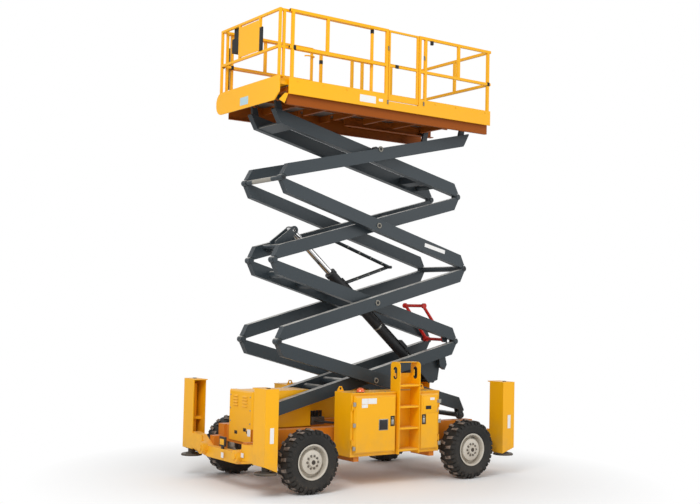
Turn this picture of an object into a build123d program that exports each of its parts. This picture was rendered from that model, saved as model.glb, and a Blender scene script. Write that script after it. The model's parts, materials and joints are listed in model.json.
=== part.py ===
from build123d import *
import math
import os

# Rough-terrain scissor lift, platform part raised. Millimetres, +Z up.
# Origin: on the ground, midway between the axles, on the machine's centre line.
# +X points to the rear (fixed platform end), -X to the front (extension deck and steered axle),
# -Y to the side that carries the ladder.
os.makedirs("parts", exist_ok=True)

# ---- driving sizes -------------------------------------------------------------------------
WHEELBASE = 2800.0
TYRE_RADIUS = 425.0
TYRE_WIDTH = 305.0
TYRE_OUTER_FACE = 1145.0          # half of the overall width
RIM_RADIUS = 225.0
LUG_HEIGHT = 22.0
LUG_COUNT = 18
HUB_FACE = 836.0                  # distance of the wheel flanges from the centre line

ARM_LENGTH = 3500.0               # pin to pin
ARM_ANGLE = 18.7                  # pin line above level, as stored
ARM_DEPTH = 180.0
ARM_WIDTH = 110.0
ARM_OUTER_FACE = 540.0            # outer arms, outside
INNER_ARM_FACE = 377.0            # inner arms, outside
ARM_PIN_RADIUS = 27.0
ARM_EYE_RADIUS = 45.0
ARM_NOSE = 20.0                   # beam past its pin
ARM_CHAMFER = 125.0               # length of the sloping beam end
FORK_PLATE = 28.0
FORK_GAP = 3.0
RUNNING_CLEARANCE = 0.05
OPEN_PIVOT_CLEARANCE = 0.5
EYE_CLEARANCE = 6.0
LEG_LEVEL_1 = 70.0                # lower pins of the lowest arms, below their beams
HORN_LEVEL_4 = 150.0              # upper pins of the top arms, above their beams
LEVELS = 4

FRONT_PIN_X = -1610.0             # fixed pivots
BASE_PIN_Z = 863.0

FRAME_TOP = 795.0                 # slideway for the lower rollers
FRAME_BOTTOM = 530.0
RAIL_INNER = 400.0
RAIL_OUTER = 560.0
FRAME_OVERHANG = 500.0            # frame rails past the axles

PLATFORM_FRONT_OVERHANG = 141.0   # platform past the fixed pivots
PLATFORM_REAR_OVERHANG = 208.0    # platform past the rear joints, as stored
PLATFORM_HALF_WIDTH = 856.0
TOE_BOARD_HEIGHT = 222.0
RAIL_TUBE = 40.0
CABINET_FRONT_GAP = 255.0         # tyre to cabinet
CABINET_REAR_GAP = 125.0
CABINET_INNER_Y = 610.0
CABINET_FACE_Y = 1000.0           # sheet behind the doors
CABINET_BOTTOM = 430.0
CABINET_TOP = 1300.0
SHEET = 6.0
DOOR_DEPTH = 45.0
DOOR_GAP = 5.0

# ---- sizes worked out from them ------------------------------------------------------------
ANGLE = math.radians(ARM_ANGLE)
LEVEL_HEIGHT = ARM_LENGTH * math.sin(ANGLE)
PIN_SPAN = ARM_LENGTH * math.cos(ANGLE)
REAR_PIN_X = FRONT_PIN_X + PIN_SPAN
PIN_Z = [BASE_PIN_Z + level * LEVEL_HEIGHT for level in range(LEVELS + 1)]
PLATFORM_PIN_Z = PIN_Z[LEVELS]
AXLE_Z = TYRE_RADIUS
FRONT_AXLE_X = -WHEELBASE / 2
REAR_AXLE_X = WHEELBASE / 2
FRAME_FRONT = FRONT_AXLE_X - FRAME_OVERHANG
FRAME_REAR = REAR_AXLE_X + FRAME_OVERHANG
CABINET_FRONT = FRONT_AXLE_X + TYRE_RADIUS + CABINET_FRONT_GAP
CABINET_REAR = REAR_AXLE_X - TYRE_RADIUS - CABINET_REAR_GAP
PLATFORM_FRONT = FRONT_PIN_X - PLATFORM_FRONT_OVERHANG
PLATFORM_REAR = REAR_PIN_X + PLATFORM_REAR_OVERHANG
WHEEL_Y = TYRE_OUTER_FACE - TYRE_WIDTH / 2
OUTER_ARM_INNER_FACE = ARM_OUTER_FACE - ARM_WIDTH
INNER_ARM_INNER_FACE = INNER_ARM_FACE - ARM_WIDTH


# ---- plain shapes --------------------------------------------------------------------------
def block(x0, x1, y0, y1, z0, z1):
    """Box between two corners."""
    centre = ((x0 + x1) / 2, (y0 + y1) / 2, (z0 + z1) / 2)
    return Pos(*centre) * Box(abs(x1 - x0), abs(y1 - y0), abs(z1 - z0))


def rod_x(y, z, x0, x1, radius):
    """Round bar along X."""
    return Pos((x0 + x1) / 2, y, z) * Rot(0, 90, 0) * Cylinder(radius, abs(x1 - x0))


def rod_y(x, z, y0, y1, radius):
    """Round bar along Y."""
    return Pos(x, (y0 + y1) / 2, z) * Rot(90, 0, 0) * Cylinder(radius, abs(y1 - y0))


def rod_z(x, y, z0, z1, radius):
    """Round bar along Z."""
    return Pos(x, y, (z0 + z1) / 2) * Cylinder(radius, abs(z1 - z0))


def bar(start, end, radius):
    """Round bar between any two points."""
    direction = Vector(*end) - Vector(*start)
    plane = Plane(origin=start, z_dir=direction)
    return plane * Pos(0, 0, direction.length / 2) * Cylinder(radius, direction.length)


def prism_xz(points, y0, y1):
    """Polygon of (x, z) points, extruded from y0 to y1."""
    face = make_face(Polyline(*[(x, y0, z) for x, z in points], close=True))
    return extrude(face, amount=y1 - y0, dir=(0, 1, 0))


def prism_yz(points, x0, x1):
    """Polygon of (y, z) points, extruded from x0 to x1."""
    face = make_face(Polyline(*[(x0, y, z) for y, z in points], close=True))
    return extrude(face, amount=x1 - x0, dir=(1, 0, 0))


def prism_xy(points, z0, z1):
    """Polygon of (x, y) points, extruded from z0 to z1."""
    face = make_face(Polyline(*[(x, y, z0) for x, y in points], close=True))
    return extrude(face, amount=z1 - z0, dir=(0, 0, 1))


def fused(pieces):
    """One shape from pieces that touch or overlap."""
    result = pieces[0]
    for piece in pieces[1:]:
        result = result + piece
    return result


def both_sides(shape):
    """The shape and its mirror image across the centre line."""
    return [shape, mirror(shape, about=Plane.XZ)]


def save(name, pieces):
    """Write one node; a list gives solids that don't touch."""
    solids = []
    for piece in pieces if isinstance(pieces, list) else [pieces]:
        solids += list(piece.solids())
    shape = solids[0] if len(solids) == 1 else Compound(children=solids)
    export_step(shape, f"parts/{name}.step")


# ---- scissor arms --------------------------------------------------------------------------
# Inner arms run from the fixed pivot, outer arms from the rollers. Each arm has its lower pin at
# (0, 0) and its upper pin at (span, rise) in its own frame: s along the beam, t across it.
class ArmFrame:
    """Place of one arm's own frame in the side view."""

    def __init__(self, chain, level):
        self.chain = chain
        self.level = level
        self.leg = LEG_LEVEL_1 if level == 1 else 0.0
        self.horn = HORN_LEVEL_4 if level == LEVELS else 0.0
        self.rise = self.leg + ARM_DEPTH + self.horn
        self.span = math.sqrt(ARM_LENGTH ** 2 - self.rise ** 2)
        self.tilt = ANGLE - math.asin(self.rise / ARM_LENGTH)
        self.to_rear = (chain == "inner") == (level % 2 == 1)
        self.sign = 1 if self.to_rear else -1
        self.base_x = FRONT_PIN_X if self.to_rear else REAR_PIN_X
        self.base_z = PIN_Z[level - 1]
        self.outer_face = ARM_OUTER_FACE if chain == "outer" else INNER_ARM_FACE
        self.inner_face = self.outer_face - ARM_WIDTH

    def at(self, s, t):
        """(x, z) of a point of the arm's own frame."""
        x = s * math.cos(self.tilt) - t * math.sin(self.tilt)
        z = s * math.sin(self.tilt) + t * math.cos(self.tilt)
        return (self.base_x + self.sign * x, self.base_z + z)

    def prism(self, points, y0, y1):
        return prism_xz([self.at(s, t) for s, t in points], y0, y1)

    def rod(self, s, t, y0, y1, radius):
        x, z = self.at(s, t)
        return rod_y(x, z, y0, y1, radius)


def beam(arm):
    """One arm's full-width beam, on the +Y side, cleared round both pins."""
    low = arm.leg
    top = arm.leg + ARM_DEPTH
    outline = [
        (-ARM_NOSE, low), (arm.span - ARM_CHAMFER, low),
        (arm.span + ARM_NOSE, top - ARM_NOSE), (arm.span + ARM_NOSE, top),
        (ARM_CHAMFER, top), (-ARM_NOSE, low + ARM_NOSE),
    ]
    shape = arm.prism(outline, arm.inner_face, arm.outer_face)
    for s, t in ((0, 0), (arm.span, arm.rise)):
        shape -= arm.rod(s, t, arm.inner_face, arm.outer_face, ARM_EYE_RADIUS + EYE_CLEARANCE)
    return shape


def eye_plate(arm, end, y0, y1):
    """Plate that carries a pin at the arm's lower or upper end."""
    reach = ARM_EYE_RADIUS
    root = 2.2 * ARM_EYE_RADIUS
    if end == "lower":
        s, t, depth = 0.0, 0.0, arm.leg + root
        outline = [(-reach, 0), (reach, 0), (root + arm.leg / 2, depth), (-ARM_NOSE + depth - arm.leg - ARM_NOSE, depth)]
    else:
        s, t, depth = arm.span, arm.rise, arm.horn + root
        outline = [
            (s + reach, t), (s - reach, t),
            (s - root - arm.horn / 2, t - depth), (s + ARM_NOSE - (depth - arm.horn - ARM_NOSE), t - depth),
        ]
    return arm.prism(outline, y0, y1) + arm.rod(s, t, y0, y1, reach)


def tongue(arm, end):
    """Single middle plate of a hinge."""
    margin = FORK_PLATE + FORK_GAP
    return eye_plate(arm, end, arm.inner_face + margin, arm.outer_face - margin)


def fork(arm, end, clearance):
    """Two outer plates of a hinge, bored for the pin."""
    s, t = (0.0, 0.0) if end == "lower" else (arm.span, arm.rise)
    plates = [
        eye_plate(arm, end, arm.inner_face, arm.inner_face + FORK_PLATE),
        eye_plate(arm, end, arm.outer_face - FORK_PLATE, arm.outer_face),
    ]
    hole = arm.rod(s, t, arm.inner_face - 1, arm.outer_face + 1, ARM_PIN_RADIUS + clearance)
    return [plate - hole for plate in plates]


def pin_through(arm, end):
    """Hinge pin with a head outside each fork plate."""
    s, t = (0.0, 0.0) if end == "lower" else (arm.span, arm.rise)
    head = 8.0
    face_gap = 0.4
    pin = arm.rod(s, t, arm.inner_face - face_gap - head, arm.outer_face + face_gap + head, ARM_PIN_RADIUS)
    for y0 in (arm.inner_face - face_gap - head, arm.outer_face + face_gap):
        pin += arm.rod(s, t, y0, y0 + head, ARM_PIN_RADIUS + 9)
    return pin


CENTRE_PIN_RADIUS = 30.0
CENTRE_BOSS = 10.0


def inner_centre(arm):
    """Centre pin and its spacing collar, carried by an inner arm."""
    s, t = arm.span / 2, arm.rise / 2
    pin = arm.rod(s, t, arm.outer_face - 5, ARM_OUTER_FACE + CENTRE_BOSS, CENTRE_PIN_RADIUS)
    pin -= arm.rod(s, t, ARM_OUTER_FACE - 2, ARM_OUTER_FACE + CENTRE_BOSS + 1, CENTRE_PIN_RADIUS * 0.55)
    return pin + arm.rod(s, t, arm.outer_face - 5, OUTER_ARM_INNER_FACE - 0.4, CENTRE_PIN_RADIUS + 20)


def outer_centre(arm, shape):
    """Outer arm with its centre bore and raised boss."""
    s, t = arm.span / 2, arm.rise / 2
    shape += arm.rod(s, t, arm.outer_face - 5, arm.outer_face + CENTRE_BOSS, CENTRE_PIN_RADIUS + 12)
    return shape - arm.rod(s, t, arm.inner_face - 1, arm.outer_face + CENTRE_BOSS + 1,
                           CENTRE_PIN_RADIUS + RUNNING_CLEARANCE)


def cross_tube(arm, s, t, radius, reach=5.0):
    """Round tube between the two arms of a pair."""
    half = arm.inner_face + reach
    return arm.rod(s, t, -half, half, radius)


# Lift cylinder: lower eye below the first inner arms, upper eye above the third.
CYLINDER_LOWER_EYE = ArmFrame("inner", 1).at(ARM_LENGTH - 528, -137)
CYLINDER_UPPER_EYE = ArmFrame("inner", 3).at(600, 297)
CYLINDER_PIN_RADIUS = 32.0
CYLINDER_EYE_RADIUS = 60.0
CYLINDER_EYE_HALF_WIDTH = 52.0
BARREL_RADIUS = 76.0
BARREL_START = 105.0              # lower eye to the barrel's base
BARREL_REACH = 2290.0             # lower eye to the barrel's gland
ROD_RADIUS = 48.0
LUG_INNER = CYLINDER_EYE_HALF_WIDTH + 6
LUG_OUTER = LUG_INNER + 24

# Hose carrier: two links that stay parallel to the arms of levels 2 and 3.
HOSE_LINK_LENGTH = 1272.0
HOSE_LINK_Y = 186.0
HOSE_LINK_RADIUS = 17.0
UPPER_HOSE_LINK_Y = HOSE_LINK_Y - 2 * HOSE_LINK_RADIUS - 4
HOSE_PIN_RADIUS = 11.0

# Safety prop: a red frame that stands on the second inner arms, beside their rear joint.
PROP_FOOT = (REAR_PIN_X - 105, PIN_Z[1] + 18)
PROP_TOP = (PROP_FOOT[0] - 428, PROP_FOOT[1] + 518)
PROP_ROD_RADIUS = 24.0
PROP_BRACKET_FACE = INNER_ARM_INNER_FACE - 17
PROP_HALF = PROP_BRACKET_FACE - 0.3


def inner_arms(level):
    """Pair of inner arms joined by its cross tubes; pins are on the lower ends."""
    arm = ArmFrame("inner", level)
    side = fused([beam(arm), tongue(arm, "lower"), pin_through(arm, "lower"), inner_centre(arm)])
    if level < LEVELS:
        side = fused([side] + fork(arm, "upper", RUNNING_CLEARANCE))
    else:
        side = fused([side, tongue(arm, "upper"), pin_through(arm, "upper")])
    middle = arm.leg + ARM_DEPTH / 2
    tubes = {
        1: [(1063, middle, 64), (1415, middle, 64)],
        2: [(ARM_LENGTH - 880, middle, 52), (ARM_LENGTH - 380, middle, 52)],
        3: [(250, middle + 50, 30), (330, middle, 42), (ARM_LENGTH - 1050, middle, 52)],
        4: [(330, middle, 42)],
    }[level]
    pieces = both_sides(side) + [cross_tube(arm, s, t, radius) for s, t, radius in tubes]
    half = arm.inner_face + 5
    if level == 1:
        # hangers, low cross tube and lugs of the lift cylinder's lower eye
        eye_s, eye_t = to_arm(arm, CYLINDER_LOWER_EYE)
        tube_s, tube_t, tube_radius = eye_s + 18, eye_t - 101, 42
        hanger = arm.prism([(eye_s - 272, 90), (eye_s + 268, 90), (tube_s + 90, tube_t - 24), (tube_s - 80, tube_t - 24)],
                           arm.inner_face - 24, arm.inner_face + 2)
        stop_s = eye_s + 148
        stop = arm.prism([(stop_s, 72), (stop_s + 130, 72), (stop_s + 130, -60), (stop_s + 70, -125), (stop_s, -60)],
                         arm.inner_face + 20, arm.outer_face - 25)
        lug = arm.prism([(eye_s - CYLINDER_EYE_RADIUS, eye_t), (eye_s + CYLINDER_EYE_RADIUS, eye_t),
                         (tube_s + tube_radius, tube_t), (tube_s - tube_radius, tube_t)], LUG_INNER, LUG_OUTER)
        lug += arm.rod(eye_s, eye_t, LUG_INNER, LUG_OUTER, CYLINDER_EYE_RADIUS)
        pieces += both_sides(fused([hanger])) + both_sides(stop) + both_sides(lug)
        pieces += [arm.rod(tube_s, tube_t, -half + 5, half - 5, tube_radius),
                   arm.rod(eye_s, eye_t, -LUG_OUTER - 6, LUG_OUTER + 6, CYLINDER_PIN_RADIUS)]
    if level == 3:
        # raised lugs of the lift cylinder's upper eye
        eye_s, eye_t = to_arm(arm, CYLINDER_UPPER_EYE)
        lug = arm.prism([(235, 130), (250, 215), (eye_s - 50, eye_t + 40), (eye_s + 60, eye_t + 10), (400, 60), (300, 60)],
                        LUG_INNER, LUG_OUTER)
        lug += arm.rod(eye_s, eye_t, LUG_INNER, LUG_OUTER, CYLINDER_EYE_RADIUS)
        lug -= arm.rod(eye_s, eye_t, LUG_INNER - 1, LUG_OUTER + 1, CYLINDER_PIN_RADIUS)
        pieces += both_sides(lug)
    if level == 4:
        # box between the arms near the rear joint, plate near the platform's pivots
        pieces.append(arm.prism([(560, 30), (700, 30), (700, 150), (560, 150)], -half, half))
        plate_s = (ARM_LENGTH - 385, ARM_LENGTH - 150)
        pieces.append(arm.prism([(plate_s[0], 8), (plate_s[1], 8), (plate_s[1], 34), (plate_s[0], 34)], -half, half))
    if level == 2:
        foot_s, foot_t = to_arm(arm, PROP_FOOT)
        bracket = arm.prism([(foot_s - 40, foot_t - 40), (foot_s + 60, foot_t - 40), (foot_s + 110, 90), (foot_s, 90)],
                            PROP_BRACKET_FACE, arm.inner_face - 5)
        foot = arm.prism([(foot_s + 20, 40), (foot_s + 85, 40), (foot_s + 110, 90), (foot_s + 20, 90)],
                         PROP_BRACKET_FACE, arm.inner_face + 5)
        pieces += both_sides(bracket) + both_sides(foot)
    if level in (2, 3):
        # stub pin of the hose carrier, at the same distance from the front joint on both levels
        share = HOSE_LINK_LENGTH / ARM_LENGTH
        if level == 2:
            share = 1 - share
        s, t = arm.span * share, arm.rise * share
        link_y = HOSE_LINK_Y if level == 2 else UPPER_HOSE_LINK_Y
        pieces.append(arm.rod(s, t, link_y - HOSE_LINK_RADIUS, arm.inner_face + 5, HOSE_PIN_RADIUS))
    return fused(pieces)


def to_arm(arm, point):
    """(s, t) of an (x, z) point in an arm's own frame."""
    x = arm.sign * (point[0] - arm.base_x)
    z = point[1] - arm.base_z
    return (x * math.cos(arm.tilt) + z * math.sin(arm.tilt), z * math.cos(arm.tilt) - x * math.sin(arm.tilt))


BASE_ROLLER_RADIUS = 62.0
PLATFORM_ROLLER_RADIUS = 50.0
PLATFORM_ROLLER_Y = (476.0, 538.0)


def outer_arms(level):
    """Pair of outer arms; rollers at the bottom of the first and at the top of the last."""
    arm = ArmFrame("outer", level)
    side = outer_centre(arm, beam(arm))
    tube_radius = {1: 38, 3: 42, 4: 33}.get(level)
    if level == 1:
        side = fused([side] + fork(arm, "lower", -1.0))
        roller = arm.rod(0, 0, arm.inner_face + FORK_PLATE + 3, arm.outer_face - FORK_PLATE - 3, BASE_ROLLER_RADIUS)
        axle = arm.rod(0, 0, arm.inner_face, arm.outer_face + 6, ARM_PIN_RADIUS)
        side = fused([side, roller, axle])
    else:
        side = fused([side, tongue(arm, "lower"), pin_through(arm, "lower")])
    if level < LEVELS:
        side = fused([side] + fork(arm, "upper", OPEN_PIVOT_CLEARANCE))
    else:
        horn = eye_plate(arm, "upper", arm.inner_face, PLATFORM_ROLLER_Y[0] - 4)
        axle = arm.rod(arm.span, arm.rise, arm.inner_face, PLATFORM_ROLLER_Y[1], ARM_PIN_RADIUS)
        roller = arm.rod(arm.span, arm.rise, *PLATFORM_ROLLER_Y, PLATFORM_ROLLER_RADIUS)
        side = fused([side, horn, axle, roller])
    pieces = both_sides(side)
    if tube_radius:
        reach = arm.inner_face + (2 if level == 1 else -5)
        pieces.append(arm.rod(0, 0, -reach, reach, tube_radius))
        return fused(pieces)
    return pieces


for level in range(1, LEVELS + 1):
    save(f"inner_arms_{level}", inner_arms(level))
    save(f"outer_arms_{level}", outer_arms(level))


# ---- lift cylinder -------------------------------------------------------------------------
def cylinder_axis():
    """Plane at the lower eye whose Z runs to the upper eye."""
    x0, z0 = CYLINDER_LOWER_EYE
    x1, z1 = CYLINDER_UPPER_EYE
    return Plane(origin=(x0, 0, z0), x_dir=(0, 1, 0), z_dir=(x1 - x0, 0, z1 - z0)), math.hypot(x1 - x0, z1 - z0)


axis, eye_distance = cylinder_axis()
barrel = axis * Pos(0, 0, (BARREL_START + BARREL_REACH) / 2) * Cylinder(BARREL_RADIUS, BARREL_REACH - BARREL_START)
barrel += axis * Pos(0, 0, BARREL_START / 2) * Box(2 * CYLINDER_EYE_HALF_WIDTH, 100, BARREL_START)
barrel += axis * Pos(0, 0, BARREL_REACH - 30) * Cylinder(BARREL_RADIUS + 9, 60)
barrel += rod_y(*CYLINDER_LOWER_EYE, -CYLINDER_EYE_HALF_WIDTH, CYLINDER_EYE_HALF_WIDTH, CYLINDER_EYE_RADIUS)
barrel -= rod_y(*CYLINDER_LOWER_EYE, -90, 90, CYLINDER_PIN_RADIUS + RUNNING_CLEARANCE)
bore_start = BARREL_START + 3
barrel -= axis * Pos(0, 0, (bore_start + BARREL_REACH + 1) / 2) * Cylinder(ROD_RADIUS + 0.5, BARREL_REACH + 1 - bore_start)
feed_pipe = axis * Pos(0, -BARREL_RADIUS - 10, 1330) * Cylinder(7, 1500)
valve = axis * Pos(0, -BARREL_RADIUS - 25, 560) * Box(90, 60, 150)
pipe_feet = [axis * Pos(0, -BARREL_RADIUS - 5, z) * Box(24, 22, 24) for z in (830, 1400, 2060)]
save("lift_cylinder_barrel", fused([barrel, valve, feed_pipe] + pipe_feet))

rod_start = BARREL_START + 555
rod = axis * Pos(0, 0, (rod_start + eye_distance - 40) / 2) * Cylinder(ROD_RADIUS, eye_distance - 40 - rod_start)
rod += rod_y(*CYLINDER_UPPER_EYE, -CYLINDER_EYE_HALF_WIDTH, CYLINDER_EYE_HALF_WIDTH, CYLINDER_EYE_RADIUS - 4)
rod -= rod_y(*CYLINDER_UPPER_EYE, -90, 90, CYLINDER_PIN_RADIUS)
save("lift_cylinder_rod", rod)


# ---- hose carrier and safety prop ----------------------------------------------------------
def hose_link(start, end, y):
    """Round bar with a bored eye at each end."""
    link = bar((start[0], y, start[1]), (end[0], y, end[1]), HOSE_LINK_RADIUS)
    for x, z in (start, end):
        link += rod_y(x, z, y - HOSE_LINK_RADIUS, y + HOSE_LINK_RADIUS, HOSE_LINK_RADIUS + 6)
        link -= rod_y(x, z, y - HOSE_LINK_RADIUS - 1, y + HOSE_LINK_RADIUS + 1, HOSE_PIN_RADIUS + 0.3)
    return link


hose_reach = HOSE_LINK_LENGTH * math.cos(ANGLE)
hose_rise = HOSE_LINK_LENGTH * math.sin(ANGLE)
hose_low = (FRONT_PIN_X + hose_reach, PIN_Z[2] - hose_rise)
hose_high = (FRONT_PIN_X + hose_reach, PIN_Z[2] + hose_rise)
hose_tip = (FRONT_PIN_X + 2 * hose_reach, PIN_Z[2])
lower_link = hose_link(hose_low, hose_tip, HOSE_LINK_Y)
lower_link += rod_y(*hose_tip, UPPER_HOSE_LINK_Y - HOSE_LINK_RADIUS - 4, HOSE_LINK_Y + HOSE_LINK_RADIUS, HOSE_PIN_RADIUS)
lower_link += rod_y(*hose_tip, HOSE_LINK_Y - HOSE_LINK_RADIUS, HOSE_LINK_Y + HOSE_LINK_RADIUS, HOSE_PIN_RADIUS + 1)
save("hose_link_lower", lower_link)
save("hose_link_upper", hose_link(hose_high, hose_tip, UPPER_HOSE_LINK_Y))

prop = rod_y(*PROP_FOOT, -PROP_HALF, PROP_HALF, PROP_ROD_RADIUS)
prop += rod_y(*PROP_TOP, -PROP_HALF, PROP_HALF, PROP_ROD_RADIUS)
for side in (-1, 1):
    y = side * (PROP_HALF - 35)
    prop += bar((PROP_FOOT[0], y, PROP_FOOT[1]), (PROP_TOP[0], y, PROP_TOP[1]), PROP_ROD_RADIUS)
    prop += rod_y(*PROP_TOP, side * PROP_HALF, side * (PROP_HALF - 36), 40)
    prop += rod_y(*PROP_FOOT, side * PROP_HALF, side * (PROP_HALF - 60), 40)
save("safety_prop", prop)


# ---- wheels --------------------------------------------------------------------------------
def turned(profile, centre_x, side):
    """Ring or disc from (radius, y) points, turned about the wheel's axle."""
    points = [(centre_x + r, side * y, AXLE_Z) for r, y in profile]
    face = make_face(Polyline(*points, close=True))
    return revolve(face, axis=Axis((centre_x, 0, AXLE_Z), (0, 1, 0)), revolution_arc=360)


def tyre(centre_x, side):
    """Carcass with two rows of slanting lugs, set half a pitch apart."""
    inner = WHEEL_Y - TYRE_WIDTH / 2
    outer = WHEEL_Y + TYRE_WIDTH / 2
    carcass_radius = TYRE_RADIUS - LUG_HEIGHT
    profile = [
        (RIM_RADIUS, inner + 38), (RIM_RADIUS + 40, inner + 14), (RIM_RADIUS + 110, inner),
        (carcass_radius - 45, inner + 6), (carcass_radius, inner + 42),
        (carcass_radius, outer - 42), (carcass_radius - 45, outer - 6),
        (RIM_RADIUS + 110, outer), (RIM_RADIUS + 40, outer - 14), (RIM_RADIUS, outer - 38),
    ]
    shape = turned(profile, centre_x, side)
    lugs = []
    for index in range(LUG_COUNT):
        for row in (-1, 1):
            turn = (index + 0.25 * row) * 360 / LUG_COUNT
            edge = TYRE_WIDTH / 2
            outline = [
                (-8 * row - 21, row * 6), (-8 * row + 17, row * 6),
                (50, row * (edge - 2)), (0, row * (edge - 2)),
            ]
            base = carcass_radius - 62
            lug = make_face(Polyline(*[(x, y, base) for x, y in outline], close=True))
            lug = extrude(lug, amount=TYRE_RADIUS - base, dir=(0, 0, 1))
            slope = make_face(Polyline(
                (-99, row * (edge - 48), TYRE_RADIUS + 1), (-99, row * (edge + 1), TYRE_RADIUS + 1),
                (-99, row * (edge + 1), TYRE_RADIUS - 62), (-99, row * (edge - 2), TYRE_RADIUS - 62),
                (-99, row * (edge - 14), TYRE_RADIUS - 22), close=True))
            lug -= extrude(slope, amount=260, dir=(1, 0, 0))
            lugs.append(Pos(centre_x, side * WHEEL_Y, AXLE_Z) * Rot(0, turn, 0) * lug)
    top = turned([(carcass_radius - 70, inner - 5), (TYRE_RADIUS, inner - 5), (TYRE_RADIUS, outer + 5),
                  (carcass_radius - 70, outer + 5)], centre_x, side)
    return shape + [lug & top for lug in lugs]


def rim(centre_x, side):
    """Dished rim with its flange, disc and hub."""
    inner = WHEEL_Y - TYRE_WIDTH / 2
    outer = WHEEL_Y + TYRE_WIDTH / 2
    barrel_wall = 12
    r = RIM_RADIUS - 0.3
    profile = [
        (r, inner + 38), (r + 12, inner + 20), (r + 4, inner + 16), (r - barrel_wall, inner + 26),
        (r - barrel_wall - 14, inner + 90), (r - barrel_wall - 20, outer - 130),
        (150, outer - 118), (142, outer - 60), (96, outer - 48), (92, HUB_FACE),
        (0, HUB_FACE), (0, outer - 12), (58, outer - 12), (66, outer - 34), (104, outer - 34),
        (156, outer - 46), (166, outer - 104), (r - barrel_wall - 6, outer - 116),
        (r - barrel_wall, outer - 26), (r + 4, outer - 16), (r + 12, outer - 20), (r, outer - 38),
    ]
    return turned(profile, centre_x, side)


WHEELS = {
    "front_left": (FRONT_AXLE_X, -1), "front_right": (FRONT_AXLE_X, 1),
    "rear_left": (REAR_AXLE_X, -1), "rear_right": (REAR_AXLE_X, 1),
}
for place, (centre_x, side) in WHEELS.items():
    save(f"tyre_{place}", tyre(centre_x, side))
    save(f"rim_{place}", rim(centre_x, side))


# ---- axles and steering --------------------------------------------------------------------
KINGPIN_Y = 790.0
KINGPIN_RADIUS = 24.0
AXLE_HALF_DEPTH = 80.0
YOKE_HEIGHT = 118.0               # kingpin's reach above and below the axle's centre
STEER_ARM = 180.0
STEER_ARM_INSET = 50.0
SPINDLE_RADIUS = 84.0
CASING_END = KINGPIN_Y - 122      # clears the steering arm at full lock


def axle_beam(centre_x):
    """Tapered axle casing with its differential bulge."""
    half = AXLE_HALF_DEPTH
    end = CASING_END
    profile = [(-end, AXLE_Z - 60), (-400, AXLE_Z - half), (400, AXLE_Z - half), (end, AXLE_Z - 60),
               (end, AXLE_Z + 60), (560, AXLE_Z + half), (-560, AXLE_Z + half), (-end, AXLE_Z + 60)]
    casing = prism_yz(profile, centre_x - 65, centre_x + 65)
    casing += rod_x(0, AXLE_Z, centre_x - 115, centre_x + 115, 120)
    return casing


front_axle = axle_beam(FRONT_AXLE_X)
for side in (-1, 1):
    y_in = side * (CASING_END - 8)
    for z_side in (-1, 1):
        z0 = AXLE_Z + z_side * (YOKE_HEIGHT - 34)
        z1 = AXLE_Z + z_side * YOKE_HEIGHT
        front_axle += block(FRONT_AXLE_X - 38, FRONT_AXLE_X + 38, y_in, side * KINGPIN_Y, z0, z1)
        front_axle += rod_z(FRONT_AXLE_X, side * KINGPIN_Y, z0, z1, 38)
    front_axle += block(FRONT_AXLE_X - 38, FRONT_AXLE_X + 38, y_in, side * 700, AXLE_Z - YOKE_HEIGHT, AXLE_Z + YOKE_HEIGHT)
    front_axle += rod_z(FRONT_AXLE_X, side * KINGPIN_Y, AXLE_Z - YOKE_HEIGHT - 8, AXLE_Z + YOKE_HEIGHT + 8, KINGPIN_RADIUS)
save("front_axle", front_axle)

rear_axle = axle_beam(REAR_AXLE_X)
for side in (-1, 1):
    rear_axle += rod_y(REAR_AXLE_X, AXLE_Z, side * (CASING_END - 28), side * (HUB_FACE - 0.3), 60)
    rear_axle += rod_y(REAR_AXLE_X, AXLE_Z, side * (HUB_FACE - 60), side * (HUB_FACE - 0.3), SPINDLE_RADIUS)
save("rear_axle", rear_axle)

for name, side in (("left", -1), ("right", 1)):
    inner = YOKE_HEIGHT - 34 - 1
    knuckle = rod_z(FRONT_AXLE_X, side * KINGPIN_Y, AXLE_Z - inner, AXLE_Z + inner, 42)
    knuckle += rod_y(FRONT_AXLE_X, AXLE_Z, side * KINGPIN_Y, side * (HUB_FACE - 0.3), 78)
    arm_plate = prism_xy([
        (FRONT_AXLE_X - 20, side * (KINGPIN_Y - 34)), (FRONT_AXLE_X + STEER_ARM, side * (KINGPIN_Y - STEER_ARM_INSET - 28)),
        (FRONT_AXLE_X + STEER_ARM + 28, side * (KINGPIN_Y - STEER_ARM_INSET)),
        (FRONT_AXLE_X + STEER_ARM, side * (KINGPIN_Y - STEER_ARM_INSET + 28)), (FRONT_AXLE_X, side * (KINGPIN_Y + 34)),
    ], AXLE_Z - 62, AXLE_Z - 38)
    knuckle += arm_plate
    knuckle -= rod_z(FRONT_AXLE_X, side * KINGPIN_Y, AXLE_Z - 130, AXLE_Z + 130, KINGPIN_RADIUS + RUNNING_CLEARANCE)
    save(f"steering_knuckle_{name}", knuckle)

STEER_ROD_X = FRONT_AXLE_X + STEER_ARM
STEER_ROD_Z = AXLE_Z - 62 - 24
steer_rod = rod_y(STEER_ROD_X, STEER_ROD_Z, -700, 700, 17)
for side in (-1, 1):
    eye_y = side * (KINGPIN_Y - STEER_ARM_INSET)
    steer_rod += block(STEER_ROD_X - 17, STEER_ROD_X + 17, side * 680, eye_y, STEER_ROD_Z - 16, STEER_ROD_Z + 16)
    steer_rod += rod_z(STEER_ROD_X, eye_y, STEER_ROD_Z - 20, STEER_ROD_Z + 22, 26)
save("steering_rod", steer_rod)
steer_barrel = rod_y(STEER_ROD_X, STEER_ROD_Z, -250, 250, 36)
steer_barrel -= rod_y(STEER_ROD_X, STEER_ROD_Z, -251, 251, 17.05)
for side in (-1, 1):
    steer_barrel += block(FRONT_AXLE_X + 65, STEER_ROD_X - 30, side * 190, side * 230, STEER_ROD_Z - 20, STEER_ROD_Z + 50)
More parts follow.
